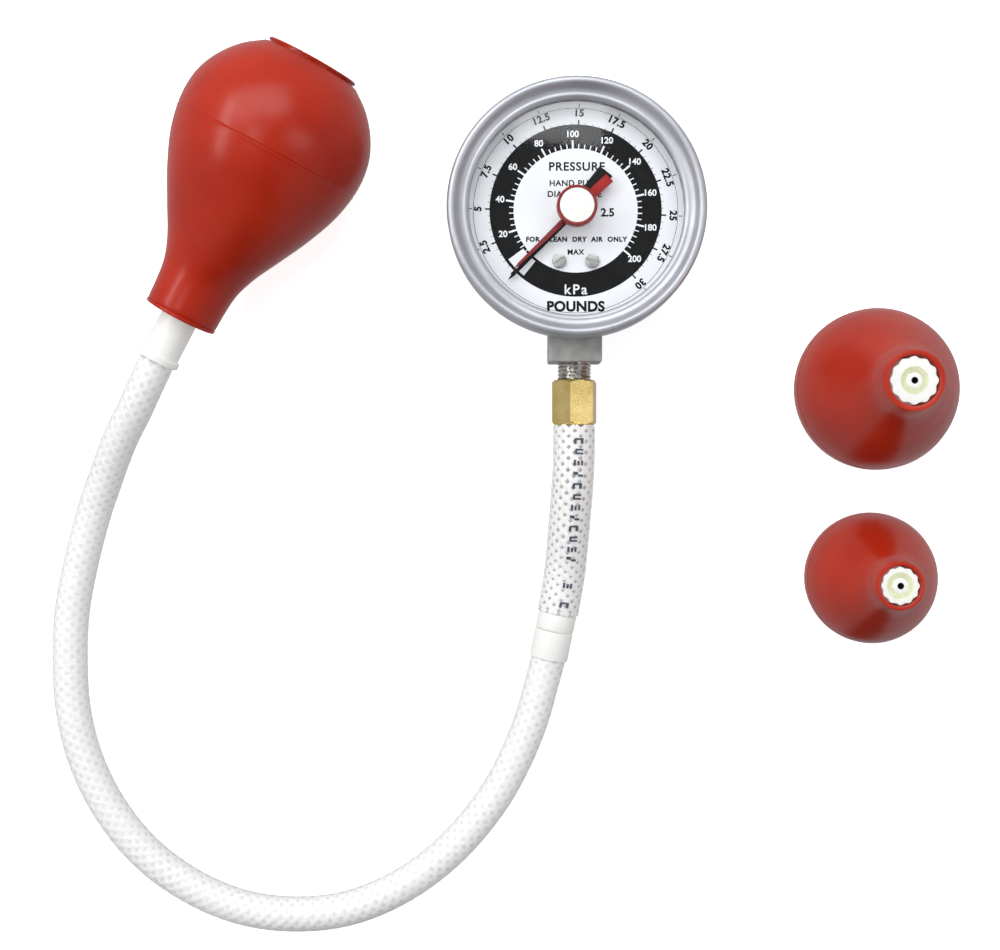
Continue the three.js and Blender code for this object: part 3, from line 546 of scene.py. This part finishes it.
def hose(name, places, sizes, sides, strands, pitch, width, core):
    """A braided hose: a clear skin, yarns crossing every pitch, and the core they are wound on."""
    mesh = bmesh.new()
    skin(mesh, places, sizes["skin"], sizes["core"], sides, 0)
    braid(mesh, places, sizes["braid"], strands, pitch, width, 1)
    tube(mesh, places, sizes["core"], sizes["bore"], sides, 2)
    materials = [CLEAR_SLEEVE, GLOWING_HOSE_YARN, core]
    return piece(f"{name}_tube", mesh, "gauge", materials, [name], sharp=60)


long_start = COUPLING_END + HOSE_GAP * coupling_axis
long_end = NECK - (END_FITTING_LENGTH + HOSE_GAP) * bulb_axis
long_line = smooth_curve([long_start, *LONG_ROUTE, long_end], HOSE_SPACING)
long_places = frames_along(long_line)
long_hose = hose("long_hose", long_places, LONG_HOSE, 40, strands=8, pitch=2.95, width=1.15, core=GLOWING_HOSE_CORE)

short_line = smooth_curve([(0, HEX_FACE, STEM_Z), *SHORT_ROUTE, COUPLING_START], HOSE_SPACING)
short_places = frames_along(short_line)
short_hose = hose(
    "short_hose", short_places, SHORT_HOSE, 48, strands=10, pitch=2.9, width=1.3, core=CLEAR_CORE,
)

# Ink marks along the short hose, on its upper side a little right of its middle: rows of strokes
# (across the hose, along it, width, length) that spell nothing
MARK_RADIUS = SHORT_HOSE["skin"] + 0.04
MARK_SHIFT = -1.1  # round the hose, which is to the right of its middle
MARK_GAPS = (24, 26, 30)
MARK_STROKES = [
    [(-0.9, 0, 0.8, 1.5), (0.1, -0.5, 2.0, 0.5), (1.0, 0.2, 0.7, 1.3)],
    [(-0.7, 0.3, 1.4, 0.6), (0.7, -0.3, 1.3, 0.8)],
    [(-1.0, 0, 0.6, 1.4), (0, 0.1, 0.6, 1.2), (1.0, 0, 0.6, 1.5)],
    [(-0.2, 0.5, 2.2, 0.5), (-0.2, -0.5, 2.2, 0.5), (0.7, 0, 0.6, 0.9)],
]


def on_hose(place, radius, around, ahead):
    """A point on a hose, some way round it from its top and some way ahead of a place on its middle."""
    point, up, side = place
    angle = around / radius
    return point + up.cross(side) * ahead + radius * (up * math.cos(angle) + side * math.sin(angle))


mesh = bmesh.new()
for i, place in enumerate(short_places[3:-1]):
    if i % 2 or i in MARK_GAPS:
        continue
    for x, y, width, length in MARK_STROKES[(i // 2) * 3 % 4]:
        for left, right in ((x - width / 2, x), (x, x + width / 2)):
            back, front = y - length / 2, y + length / 2
            corners = [(left, back), (right, back), (right, front), (left, front)]
            spots = [on_hose(place, MARK_RADIUS, MARK_SHIFT + across, ahead) for across, ahead in corners]
            mesh.faces.new([mesh.verts.new(spot) for spot in spots])
hose_marks = piece("short_hose_marks", mesh, "gauge", [HOSE_INK])

# Coupling between the hoses
mesh = bmesh.new()
socket = [(BORE, -10), (2.4, -10)]
socket += [(radius, -along) for radius, along in reversed(barb(2.9, 0, 9, 2.4)[:-1])]
socket += [(2.4, 0.3)] + rounded([(2.4, 0.3), (5.25, 0.3), (5.25, 4.9), (3.5, 4.9)], 0.35)[1:]
socket += [(3.5, 1.4), (BORE, 1.4)]
lathe(mesh, socket, 64, ring=True)
mesh.transform(ON_COUPLING)
coupling_socket = piece(
    "coupling_socket_half", mesh, "gauge", [GLOWING_WHITE_PLASTIC], ["coupling_socket"],
)
length = (COUPLING_END - COUPLING_START).length
mesh = bmesh.new()
plug = [(BORE, 1.7), (2.4, 1.7), (2.4, 3.4), (3.2, 3.4), (3.2, 5.2)]
plug += rounded([(3.2, 5.2), (5.25, 5.2), (5.25, length), (2.2, length)], 0.35)[1:-1]
plug += [(2.2, length)] + barb(2.5, length + HOSE_GAP, 9, 2) + [(BORE, length + HOSE_GAP + 10)]
lathe(mesh, plug, 64, ring=True)
mesh.transform(ON_COUPLING)
coupling_plug = piece(
    "coupling_plug_half", mesh, "gauge", [GLOWING_WHITE_PLASTIC], ["coupling_plug"],
)
mesh = bmesh.new()
lathe(mesh, rounded([(2.7, 1.7), (3.2, 1.7), (3.2, 3.1), (2.7, 3.1)], 0.2, ring=True), 48, ring=True)
mesh.transform(ON_COUPLING)
coupling_seal = piece("coupling_seal", mesh, "gauge", [SEAL_RUBBER_AND_BORE_SHADE], ["coupling_o_ring"])

# End fitting in the large bulb's neck
mesh = bmesh.new()
fitting = [(BORE, -23.2), (2, -23.2)] + [(r, -s) for r, s in reversed(barb(2.6, 13.5, 9, 2)[:-1])]
fitting += [(2.2, -13.2)]
fitting += rounded([(2.2, -13.2), (5.7, -13.2), (5.7, -11.5), (5, -11.5), (5, 0.2), (3.1, 0.2)], 0.3)[1:]
fitting += [(3.1, 6.5), (2.2, 6.5), (2.2, -1.8), (BORE, -1.8)]
lathe(mesh, fitting, 64, ring=True)
mesh.transform(ON_BULB)
end_fitting = piece(
    "bulb_end_fitting", mesh, "gauge", [GLOWING_WHITE_PLASTIC], ["hose_end_fitting"],
)


# --- Rubber bulbs ---
def bulb(name, scale, place, body, slimmer=0.0):
    """A hollow bulb with its mould's parting line and its foot's lip, its mouth slimmer by some."""
    outline = [(radius - slimmer * max(0, 1 - along / 18), along, 0) for radius, along in BULB_OUTLINE]
    curve = smooth_curve(outline, 0.8)
    lip = [(9.2, 0), (9.75, 0.1), (9.9, 0.45), (9.85, 0.9), (9.6, 1.1), (9.8, 1.35)]
    outer = [(radius - slimmer, along) for radius, along in lip]
    for before, point in zip(curve, curve[1:]):
        if before.y < PARTING_LINE <= point.y:
            radius = point.x
            seam = [(radius, -0.3), (radius - 0.2, 0), (radius, 0.3)]
            outer += [(reach, PARTING_LINE + step) for reach, step in seam]
        if point.y > 2 and abs(point.y - PARTING_LINE) > 0.45:
            outer.append((point.x, point.y))
    foot = [(12.6, 74.85), (12.0, 74.95), (12.0, 75.3), (12.5, 75.4), (12.6, 75.8), (12.3, 76), (12.0, 76)]
    foot += [(11.6, 75.5), (0, 75.5)]
    belly = reversed(BULB_OUTLINE[3:-1])
    inner = [(max(radius - RUBBER_WALL, NECK_BORE), along) for radius, along in belly]
    cavity = [(0, FOOT_INSIDE), *inner, (NECK_BORE, 13), (NECK_BORE, 0.2), (NECK_BORE + 0.25, 0)]
    mesh = bmesh.new()
    lathe(mesh, cavity + outer + foot, 144)
    mesh.transform(place @ Matrix.Scale(scale, 4))
    return piece(f"rubber_bulb_{name}", mesh, body, [RED_RUBBER], [f"bulb_{name}"], sharp=40)


def neck_insert(name, scale, place, body):
    """The scalloped plastic insert in a bulb's neck, with a ring socket round its middle boss."""
    top, end = INSERT_TOP * scale, INSERT_END * scale
    bottom = top + INSERT_SOCKET * scale
    rim = INSERT_RADIUS * scale

    def scalloped(radius, height, angle):
        dip = SCALLOP_DEPTH * scale * (1 - math.cos(SCALLOPS * angle)) / 2
        return radius - dip if radius > 4 else radius

    profile = rounded([(0.65, end), (rim, end), (rim, top), (3.4, top)], 0.3)
    profile += [(3.4, bottom), (1.9, bottom), (1.9, top)]
    profile += [(1.7, top - 0.1), (0.85, top - 0.1), (0.65, top + 0.1)]
    mesh = bmesh.new()
    lathe(mesh, profile, 144, shape=scalloped, ring=True)
    # Painted shade: faces in the ring socket take the greyer, glowing socket material.
    for face in mesh.faces:
        reach = face.calc_center_median().xy.length
        if 1.85 < reach < 3.45 and face.calc_center_median().z > top + 0.05:
            face.material_index = 1
        # Painted shade: faces in the bore take the near-black seal rubber.
        elif reach < 0.8:
            face.material_index = 2
    mesh.transform(place)
    materials = [GLOWING_WHITE_PLASTIC, SOCKET_PAINTED_SHADE_GLOW, SEAL_RUBBER_AND_BORE_SHADE]
    return piece(f"neck_insert_{name}", mesh, body, materials, [f"bulb_{name}_insert"])


bulb("large", 1.0, ON_BULB, "bulb")
neck_insert("large", 1.0, ON_BULB, "bulb")
for name, (x, y, scale) in SPARES.items():
    standing = placed(Vector((x, y, BULB_LENGTH * scale)), Vector((0, 0, -1)))
    bulb(name, scale, standing, f"spare_{name}", SPARE_SLIMMER)
    neck_insert(name, scale, standing, f"spare_{name}")


# --- Gauge housing ---
mesh = bmesh.new()
outside = rounded([(0, 0), (CASE_RADIUS, 0), (CASE_RADIUS, CASE_HEIGHT - 0.1)], 1.2, 5)[:-1]
inner = CASE_RADIUS - CASE_WALL
inside = [(CASE_RADIUS, CASE_HEIGHT), (inner, CASE_HEIGHT), (inner, CASE_BACK), (0, CASE_BACK)]
lathe(mesh, outside + inside, 144)
tool = bmesh.new()
opening = STEM_HALF + 0.3
block(tool, [(-opening, opening), (-35, STEM_INNER), (STEM_Z - opening, STEM_Z + opening)])
screw_seat = [(0, -1), (2.5, -1), (2.5, 1.2), (1.4, 1.2), (1.4, 3), (0, 3)]
for x in (-CASE_SCREW_X, CASE_SCREW_X):
    lathe(tool, screw_seat, 32, Matrix.Translation((x, CASE_SCREW_Y, 0)))
piece("case_cup", carved(mesh, tool), "gauge", [CASE_METAL], ["gauge_case"])

mesh = bmesh.new()
bezel = [(31.8, 20.2), (34.1, 20.2), (34.1, 29.2), (33.7, 30.1), (32.8, 30.4), (32.1, 30.1), (31.5, 29.3)]
bezel += [(30.9, 28.7), (29.9, 28.35), (29.3, 28.45), (28.9, 28.3), (28.3, 27.9), (28.2, 26.8)]
bezel += [(31.8, 26.8)]
lathe(mesh, rounded(bezel, 0.35, 3, ring=True), 192, ring=True)
piece("bezel_bead", mesh, "gauge", [BEZEL_METAL], ["bezel_ring"], sharp=50)

mesh = bmesh.new()
disc = [(WINDOW_HOLE, WINDOW_BOTTOM), (WINDOW_RADIUS, WINDOW_BOTTOM)]
disc += [(WINDOW_RADIUS, WINDOW_TOP), (WINDOW_HOLE, WINDOW_TOP)]
lathe(mesh, disc, 128, ring=True)
piece("window_disc", mesh, "gauge", [CLEAR_WINDOW], ["crystal_window"])


# --- Dial ---
def arc_patch(mesh, inner, outer, start, end, height):
    """A flat patch of a ring between two angles in degrees."""
    steps = max(1, round(abs(end - start) / 3))
    for i in range(steps):
        first = start + (end - start) * i / steps
        second = start + (end - start) * (i + 1) / steps
        corners = [polar(inner, first), polar(outer, first), polar(outer, second), polar(inner, second)]
        mesh.faces.new([mesh.verts.new((x, y, height)) for x, y in corners])


def tick(mesh, inner, outer, degrees, width, height):
    """A flat line from one radius to another."""
    along = Vector(polar(1, degrees))
    across = Vector((-along.y, along.x)) * width / 2
    near, far = along * inner, along * outer
    corners = [near - across, far - across, far + across, near + across]
    mesh.faces.new([mesh.verts.new((*corner, height)) for corner in corners])


def lettering(mesh, text, size, x, y, height, degrees=0.0, weight=0.0, spacing=1.0):
    """Flat letters centred on a point, turned by an angle."""
    curve = bpy.data.curves.new("lettering", "FONT")
    curve.body = text
    curve.size = size
    curve.offset = weight
    curve.space_character = spacing
    curve.align_x = "CENTER"
    curve.align_y = "CENTER"
    writing = bpy.data.objects.new("lettering", curve)
    SCENE.collection.objects.link(writing)
    letters = bpy.data.meshes.new_from_object(writing.evaluated_get(bpy.context.evaluated_depsgraph_get()))
    letters.transform(Matrix.Translation((x, y, height)) @ Matrix.Rotation(math.radians(degrees), 4, "Z"))
    mesh.from_mesh(letters)
    bpy.data.objects.remove(writing)
    bpy.data.meshes.remove(letters)


def scale_angle(psi):
    return SCALE_START - SWEEP * psi / FULL_PSI


mesh = bmesh.new()
plate = [(DIAL_HOLE, DIAL_BOTTOM), (DIAL_RADIUS, DIAL_BOTTOM), (DIAL_RADIUS, DIAL_TOP), (DIAL_HOLE, DIAL_TOP)]
lathe(mesh, rounded(plate, 0.1, 1, ring=True), 128, ring=True)
piece("dial_face", mesh, "gauge", [GLOWING_DIAL_WHITE], ["dial_plate"])

BLACK_PRINT, WHITE_PRINT = DIAL_TOP + 0.02, DIAL_TOP + 0.04  # heights
BAND_INNER, BAND_OUTER = 16.5, 22.9  # the black ring that carries the kPa scale
PSI_RADIUS, KPA_RADIUS = 25.9, 20.3  # where the numbers stand
mesh = bmesh.new()
arc_patch(mesh, 27.15, 27.27, 0, 360, BLACK_PRINT)  # a thin circle outside the numbers
arc_patch(mesh, BAND_INNER, BAND_OUTER, 0, 360, BLACK_PRINT)
for half_psi in range(61):
    angle = scale_angle(half_psi / 2)
    major = half_psi % 5 == 0
    tick(mesh, 22.8, 24.1 if major else 23.5, angle, 0.42 if major else 0.12, BLACK_PRINT)
for step in range(1, 13):
    psi = 2.5 * step
    angle = scale_angle(psi)
    x, y = polar(PSI_RADIUS, angle)
    lettering(mesh, f"{psi:g}", 2.6, x, y, BLACK_PRINT, angle - 90, weight=0.12, spacing=1.1)
    tick(mesh, 27.5, 28.4, angle, 0.22, BLACK_PRINT)
lettering(mesh, "POUNDS", 3.7, 0, -25.6, BLACK_PRINT, weight=0.16, spacing=1.05)
lettering(mesh, "PRESSURE", 3.15, 0.3, 11.6, BLACK_PRINT, weight=0.08, spacing=1.12)
lettering(mesh, "HAND PUMP", 2.2, -0.3, 7.2, BLACK_PRINT, weight=0.06, spacing=1.1)
lettering(mesh, "DIAL  GAUGE", 2.2, -0.3, 4.3, BLACK_PRINT, weight=0.06, spacing=1.1)
lettering(mesh, "2.5", 3.0, 8.5, -0.6, BLACK_PRINT, weight=0.1)
lettering(mesh, "FOR  CLEAN  DRY  AIR  ONLY", 1.75, 0.2, -7.7, BLACK_PRINT, weight=0.09, spacing=1.15)
lettering(mesh, "MAX", 1.9, 0, -11.1, BLACK_PRINT, weight=0.07, spacing=1.15)
piece("dial_black_print", mesh, "gauge", [INK_BLACK])

mesh = bmesh.new()
arc_patch(mesh, 17.2, 22.1, 216, 231.5, WHITE_PRINT)
for step in range(51):
    kpa = 4 * step
    major = step % 5 == 0
    angle = scale_angle(kpa / KPA_PER_PSI)
    tick(mesh, BAND_INNER, 18.7 if major else 17.7, angle, 0.5 if major else 0.28, WHITE_PRINT)
    if major and kpa:
        x, y = polar(KPA_RADIUS, angle)
        lettering(mesh, str(kpa), 2.35, x, y, WHITE_PRINT, weight=0.06)
lettering(mesh, "kPa", 3.7, 0, -21.1, WHITE_PRINT, weight=0.05, spacing=1.25)
piece("dial_white_print", mesh, "gauge", [GLOWING_DIAL_WHITE])

SLOT_ANGLES = (35, -20)  # degrees
for side, (x, y), slot_angle in zip(("left", "right"), DIAL_SCREWS, SLOT_ANGLES):
    mesh = bmesh.new()
    head = rounded([(0.8, 21.3), (1.9, 21.3), (1.9, 22.1), (0, 22.1)], 0.3)
    lathe(mesh, [(0, 18.2), (0.8, 18.2)] + head, 48, Matrix.Translation((x, y, 0)))
    tool = bmesh.new()
    block(tool, [(-3, 3), (-0.28, 0.28), (21.75, 23)])
    tool.transform(Matrix.Translation((x, y, 0)) @ Matrix.Rotation(math.radians(slot_angle), 4, "Z"))
    slotted = carved(mesh, tool)
    piece(f"slotted_screw_{side}", slotted, "gauge", [STEEL], [f"dial_screw_{side}"])


# --- Pointers and knob ---
def pointing(mesh, corners, degrees, bottom, top, bevel):
    """A flat plate of (along, across) corners that points at an angle."""
    along = Vector(polar(1, degrees))
    across = Vector((-along.y, along.x))
    slab(mesh, [along * u + across * v for u, v in corners], bottom, top, bevel)


def needle(mesh, tip, half, degrees, bottom, top, bevel):
    corners = [(0, -half), (tip - 2, -0.45 * half), (tip, 0), (tip - 2, 0.45 * half), (0, half)]
    pointing(mesh, corners, degrees, bottom, top, bevel)


def tail(mesh, reach, half, degrees, bottom, top, bevel):
    corners = [(0, -half), (reach, -half), (reach, half), (0, half)]
    pointing(mesh, corners, degrees, bottom, top, bevel)


mesh = bmesh.new()
needle(mesh, 26, 1.0, ZERO_ANGLE + 1, BLACK_BOTTOM, BLACK_TOP, 0.12)
tail(mesh, 13, 2.15, 52, BLACK_BOTTOM, BLACK_TOP, 0.15)
hub_top = BLACK_TOP + 0.05
hub = [(1.8, BLACK_BOTTOM), (3, BLACK_BOTTOM), (3, hub_top), (1.8, hub_top)]
lathe(mesh, rounded(hub, 0.12, 1, ring=True), 48, ring=True)
piece("black_pointer_plate", mesh, "pointer", [POINTER_BLACK], ["pointer_black"])

mesh = bmesh.new()
tail(mesh, 12.1, 1.35, 43, RED_BOTTOM, RED_TOP, 0.2)
piece("red_tail_plate", mesh, "max_pointer", [POINTER_RED], ["max_pointer_red"])
mesh = bmesh.new()
needle(mesh, 23, 0.85, ZERO_ANGLE - 1, RED_BOTTOM + 0.02, RED_TOP - 0.02, 0.12)
hub_top = RED_TOP + 0.1
hub = [(1.55, RED_BOTTOM), (4.3, RED_BOTTOM), (4.3, hub_top), (1.55, hub_top)]
lathe(mesh, rounded(hub, 0.15, 2, ring=True), 72, ring=True)
piece("red_needle_hub", mesh, "max_pointer", [HUB_RED])

mesh = bmesh.new()
pocket = CAP_RADIUS + 0.1
rim = [(1.55, KNOB_BOTTOM), (KNOB_RADIUS, KNOB_BOTTOM), (KNOB_RADIUS, KNOB_TOP), (pocket, KNOB_TOP)]
rim = rounded(rim + [(pocket, CAP_BOTTOM)], 0.3, 3)
lathe(mesh, [(0, 29.1), (1.55, 29.1)] + rim + [(0, CAP_BOTTOM)], 96)
piece("red_reset_knob", mesh, "max_pointer", [HUB_RED], ["reset_knob"])
mesh = bmesh.new()
cap_top = KNOB_TOP + 0.02
cap = [(0, CAP_BOTTOM), (CAP_RADIUS, CAP_BOTTOM), (CAP_RADIUS, cap_top), (0, cap_top)]
lathe(mesh, rounded(cap, 0.12, 3), 96)
piece("white_knob_cap", mesh, "max_pointer", [GLOWING_WHITE_PLASTIC], ["knob_cap"])


# --- Stem and brass fitting ---
THREAD_PITCH, THREAD_DEPTH = 0.94, 0.45


def helical(radius, height, angle):
    """A thread's crests and roots, one pitch in each turn."""
    phase = (height / THREAD_PITCH + angle / TURN) % 1
    return radius + (THREAD_DEPTH * (1 - 2 * abs(phase - 0.5)) if radius > 4 else 0)


def stem_bar(mesh, half, start, end, bevel=0.0):
    """A length of the stem's square bar."""
    block(mesh, [(-half, half), (start, end), (STEM_Z - half, STEM_Z + half)], bevel)


mesh = bmesh.new()
stem_bar(mesh, STEM_HALF, STEM_END, STEM_SHOULDER, 0.45)
stem_bar(mesh, STEM_HALF - 0.65, STEM_SHOULDER - 0.3, STEM_WAIST + 0.3)
stem_bar(mesh, STEM_HALF, STEM_WAIST, STEM_INNER, 0.3)
block(mesh, [(-STEM_HALF, STEM_HALF), (SHELF_START, SHELF_END), (CASE_BACK + 0.3, SHELF_TOP)], 0.3)
thread = [(BORE, THREAD_START), (THREAD_CORE, THREAD_START)]
thread += [(4.15, THREAD_START + 0.9 + 0.13 * i) for i in range(86)]
thread += [(THREAD_CORE, THREAD_END), (BORE, THREAD_END)]
lathe(mesh, thread, 72, ALONG_STEM, shape=helical, ring=True, material=1)
piece("stem_block", mesh, "gauge", [STEM_METAL, THREAD_METAL], ["stem_socket"])


def hexagonal(radius, height, angle):
    """The smaller of a turned radius and the hexagon's own reach at an angle."""
    if radius < 5:
        return radius
    turned_by = (angle - math.radians(HEX_TURN)) % (TURN / 6) - TURN / 12
    flat = HEX_CORNER * math.cos(TURN / 12)
    return min(radius, flat / math.cos(turned_by))


mesh = bmesh.new()
near, far = HEX_START, HEX_START + HEX_LENGTH
chamfer = [(5.3 + 1.3 * i / 8, 0.9 * i / 8) for i in range(9)]
body = [(radius, near + depth) for radius, depth in chamfer]
body += [(radius, far - depth) for radius, depth in reversed(chamfer)]
bore = [(BORE, near + 8.5), (4.9, near + 8.5), (4.9, near)]
barbs = [(2.5, far)] + barb(3.1, far + 1, 12, 2.4) + [(BORE, far + 14)]
lathe(mesh, bore + body + barbs, 120, ALONG_STEM, shape=hexagonal, ring=True)
piece("brass_fitting", mesh, "gauge", [BRASS], ["brass_hose_fitting"], sharp=24)


# --- Bourdon tube, on no body, and the CAD nodes that keep their shape ---
mesh = bmesh.new()
bends = [BOURDON["start"] + BOURDON["turn"] * i / 96 for i in range(97)]
arc_points = [Vector((*polar(BOURDON["radius"], bend), BOURDON["z"])) for bend in bends]
rings = []
for point, up, side in frames_along(arc_points):
    ring = []
    for i in range(24):
        angle = TURN * i / 24
        reach = up * BOURDON["high"] * math.cos(angle) + side * BOURDON["thick"] * math.sin(angle)
        ring.append(mesh.verts.new(point + reach))
    rings.append(ring)
for first, second in zip(rings, rings[1:]):
    bridge(mesh, first, second)
mesh.faces.new(rings[0])
mesh.faces.new(rings[-1])
bourdon = piece("bent_bourdon_tube", mesh, None, [BRONZE], ["bourdon_tube"])
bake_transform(bourdon)

CAD_FINISHES = {
    "crystal_gasket": GASKET_RUBBER, "case_screw_left": STEEL, "case_screw_right": STEEL,
    "movement_back_plate": MOVEMENT_BRASS, "movement_front_plate": MOVEMENT_BRASS,
    "pillar_upper": MOVEMENT_BRASS, "pillar_lower": MOVEMENT_BRASS, "movement_screw_left": STEEL,
    "movement_screw_right": STEEL, "hairspring": BRONZE, "hairspring_stud": MOVEMENT_BRASS,
    "pinion_gear": MOVEMENT_BRASS, "pointer_hub": MOVEMENT_BRASS, "sector_gear": MOVEMENT_BRASS,
    "sector_arbor": STEEL, "link_rod": STEEL, "bourdon_tip": MOVEMENT_BRASS, "knob_shaft": STEEL,
}
for node, material in CAD_FINISHES.items():
    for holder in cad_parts[node].material_slots:
        holder.material = material


# --- Floor, world and lights ---
FLOOR_REACH = 15000  # from the middle to each side
mesh = bmesh.new()
block(mesh, [(-FLOOR_REACH, FLOOR_REACH), (-FLOOR_REACH, FLOOR_REACH), (-12, 0)])
mesh.transform(Matrix.Scale(MM, 4))
floor_data = bpy.data.meshes.new("floor")
mesh.to_mesh(floor_data)
mesh.free()
floor = bpy.data.objects.new("floor", floor_data)
SCENE.collection.objects.link(floor)
floor_white = surface(
    "floor_white", (0.90, 0.90, 0.90), (0.92, 0.92, 0.92), (0.7, 0.8), tone=4, bump=0.0,
    Emission_Color=(1, 1, 1, 1), Emission_Strength=0.74,
)
floor_data.materials.append(floor_white)
floor.visible_glossy = False
floor.visible_diffuse = False

# The room: bright walls and table, a dimmer ceiling, and a dark gap on the near side
world = bpy.data.worlds.new("studio")
SCENE.world = world
world.use_nodes = True
tree = world.node_tree
sky = tree.nodes["Background"]
direction = tree.nodes.new("ShaderNodeTexCoord")
split = tree.nodes.new("ShaderNodeSeparateXYZ")
tree.links.new(direction.outputs["Generated"], split.inputs["Vector"])
room = ramp_on(tree, split.outputs["Z"], (0.50, 0.50, 0.51), (0.20, 0.21, 0.23), 0.2, 0.8)
flatter = tree.nodes.new("ShaderNodeVectorMath")
flatter.operation = "MULTIPLY"
flatter.inputs[1].default_value = (1.0, 1.0, 0.2)
tree.links.new(direction.outputs["Generated"], flatter.inputs[0])
heading = tree.nodes.new("ShaderNodeVectorMath")
heading.operation = "NORMALIZE"
tree.links.new(flatter.outputs["Vector"], heading.inputs[0])
nearness = tree.nodes.new("ShaderNodeVectorMath")
nearness.operation = "DOT_PRODUCT"
nearness.inputs[1].default_value = (0.02, -1.0, 0.0)
tree.links.new(heading.outputs["Vector"], nearness.inputs[0])
gap = ramp_on(tree, nearness.outputs["Value"], (1, 1, 1), (0.1, 0.1, 0.1), 0.93, 0.965)
dimmed = tree.nodes.new("ShaderNodeVectorMath")
dimmed.operation = "MULTIPLY"
tree.links.new(room, dimmed.inputs[0])
tree.links.new(gap, dimmed.inputs[1])
tree.links.new(dimmed.outputs["Vector"], sky.inputs["Color"])
sky.inputs["Strength"].default_value = 1.0


def soft_light(name, place, target, size, power):
    data = bpy.data.lights.new(name, "AREA")
    data.shape = "RECTANGLE"
    data.size, data.size_y = size
    data.energy = power
    lamp = bpy.data.objects.new(name, data)
    lamp.location = place
    lamp.rotation_euler = (Vector(target) - Vector(place)).to_track_quat("-Z", "Y").to_euler()
    SCENE.collection.objects.link(lamp)


soft_light("key_above", (-0.25, 0.85, 1.3), (-0.02, -0.06, 0.0), (1.9, 1.1), 17.5)
soft_light("strip_left", (-0.95, 0.20, 0.83), (-0.09, 0.02, 0.05), (0.9, 0.06), 3.6)
soft_light("window_right", (0.66, -0.20, 0.98), (0.0, -0.05, 0.02), (0.35, 0.6), 1.4)
soft_light("window_above", (-0.39, -0.10, 1.30), (-0.08, 0.0, 0.05), (0.3, 0.3), 1.2)
soft_light("window_top", (0.06, 0.42, 1.3), (0.0, 0.0, 0.02), (0.09, 0.32), 0.35)
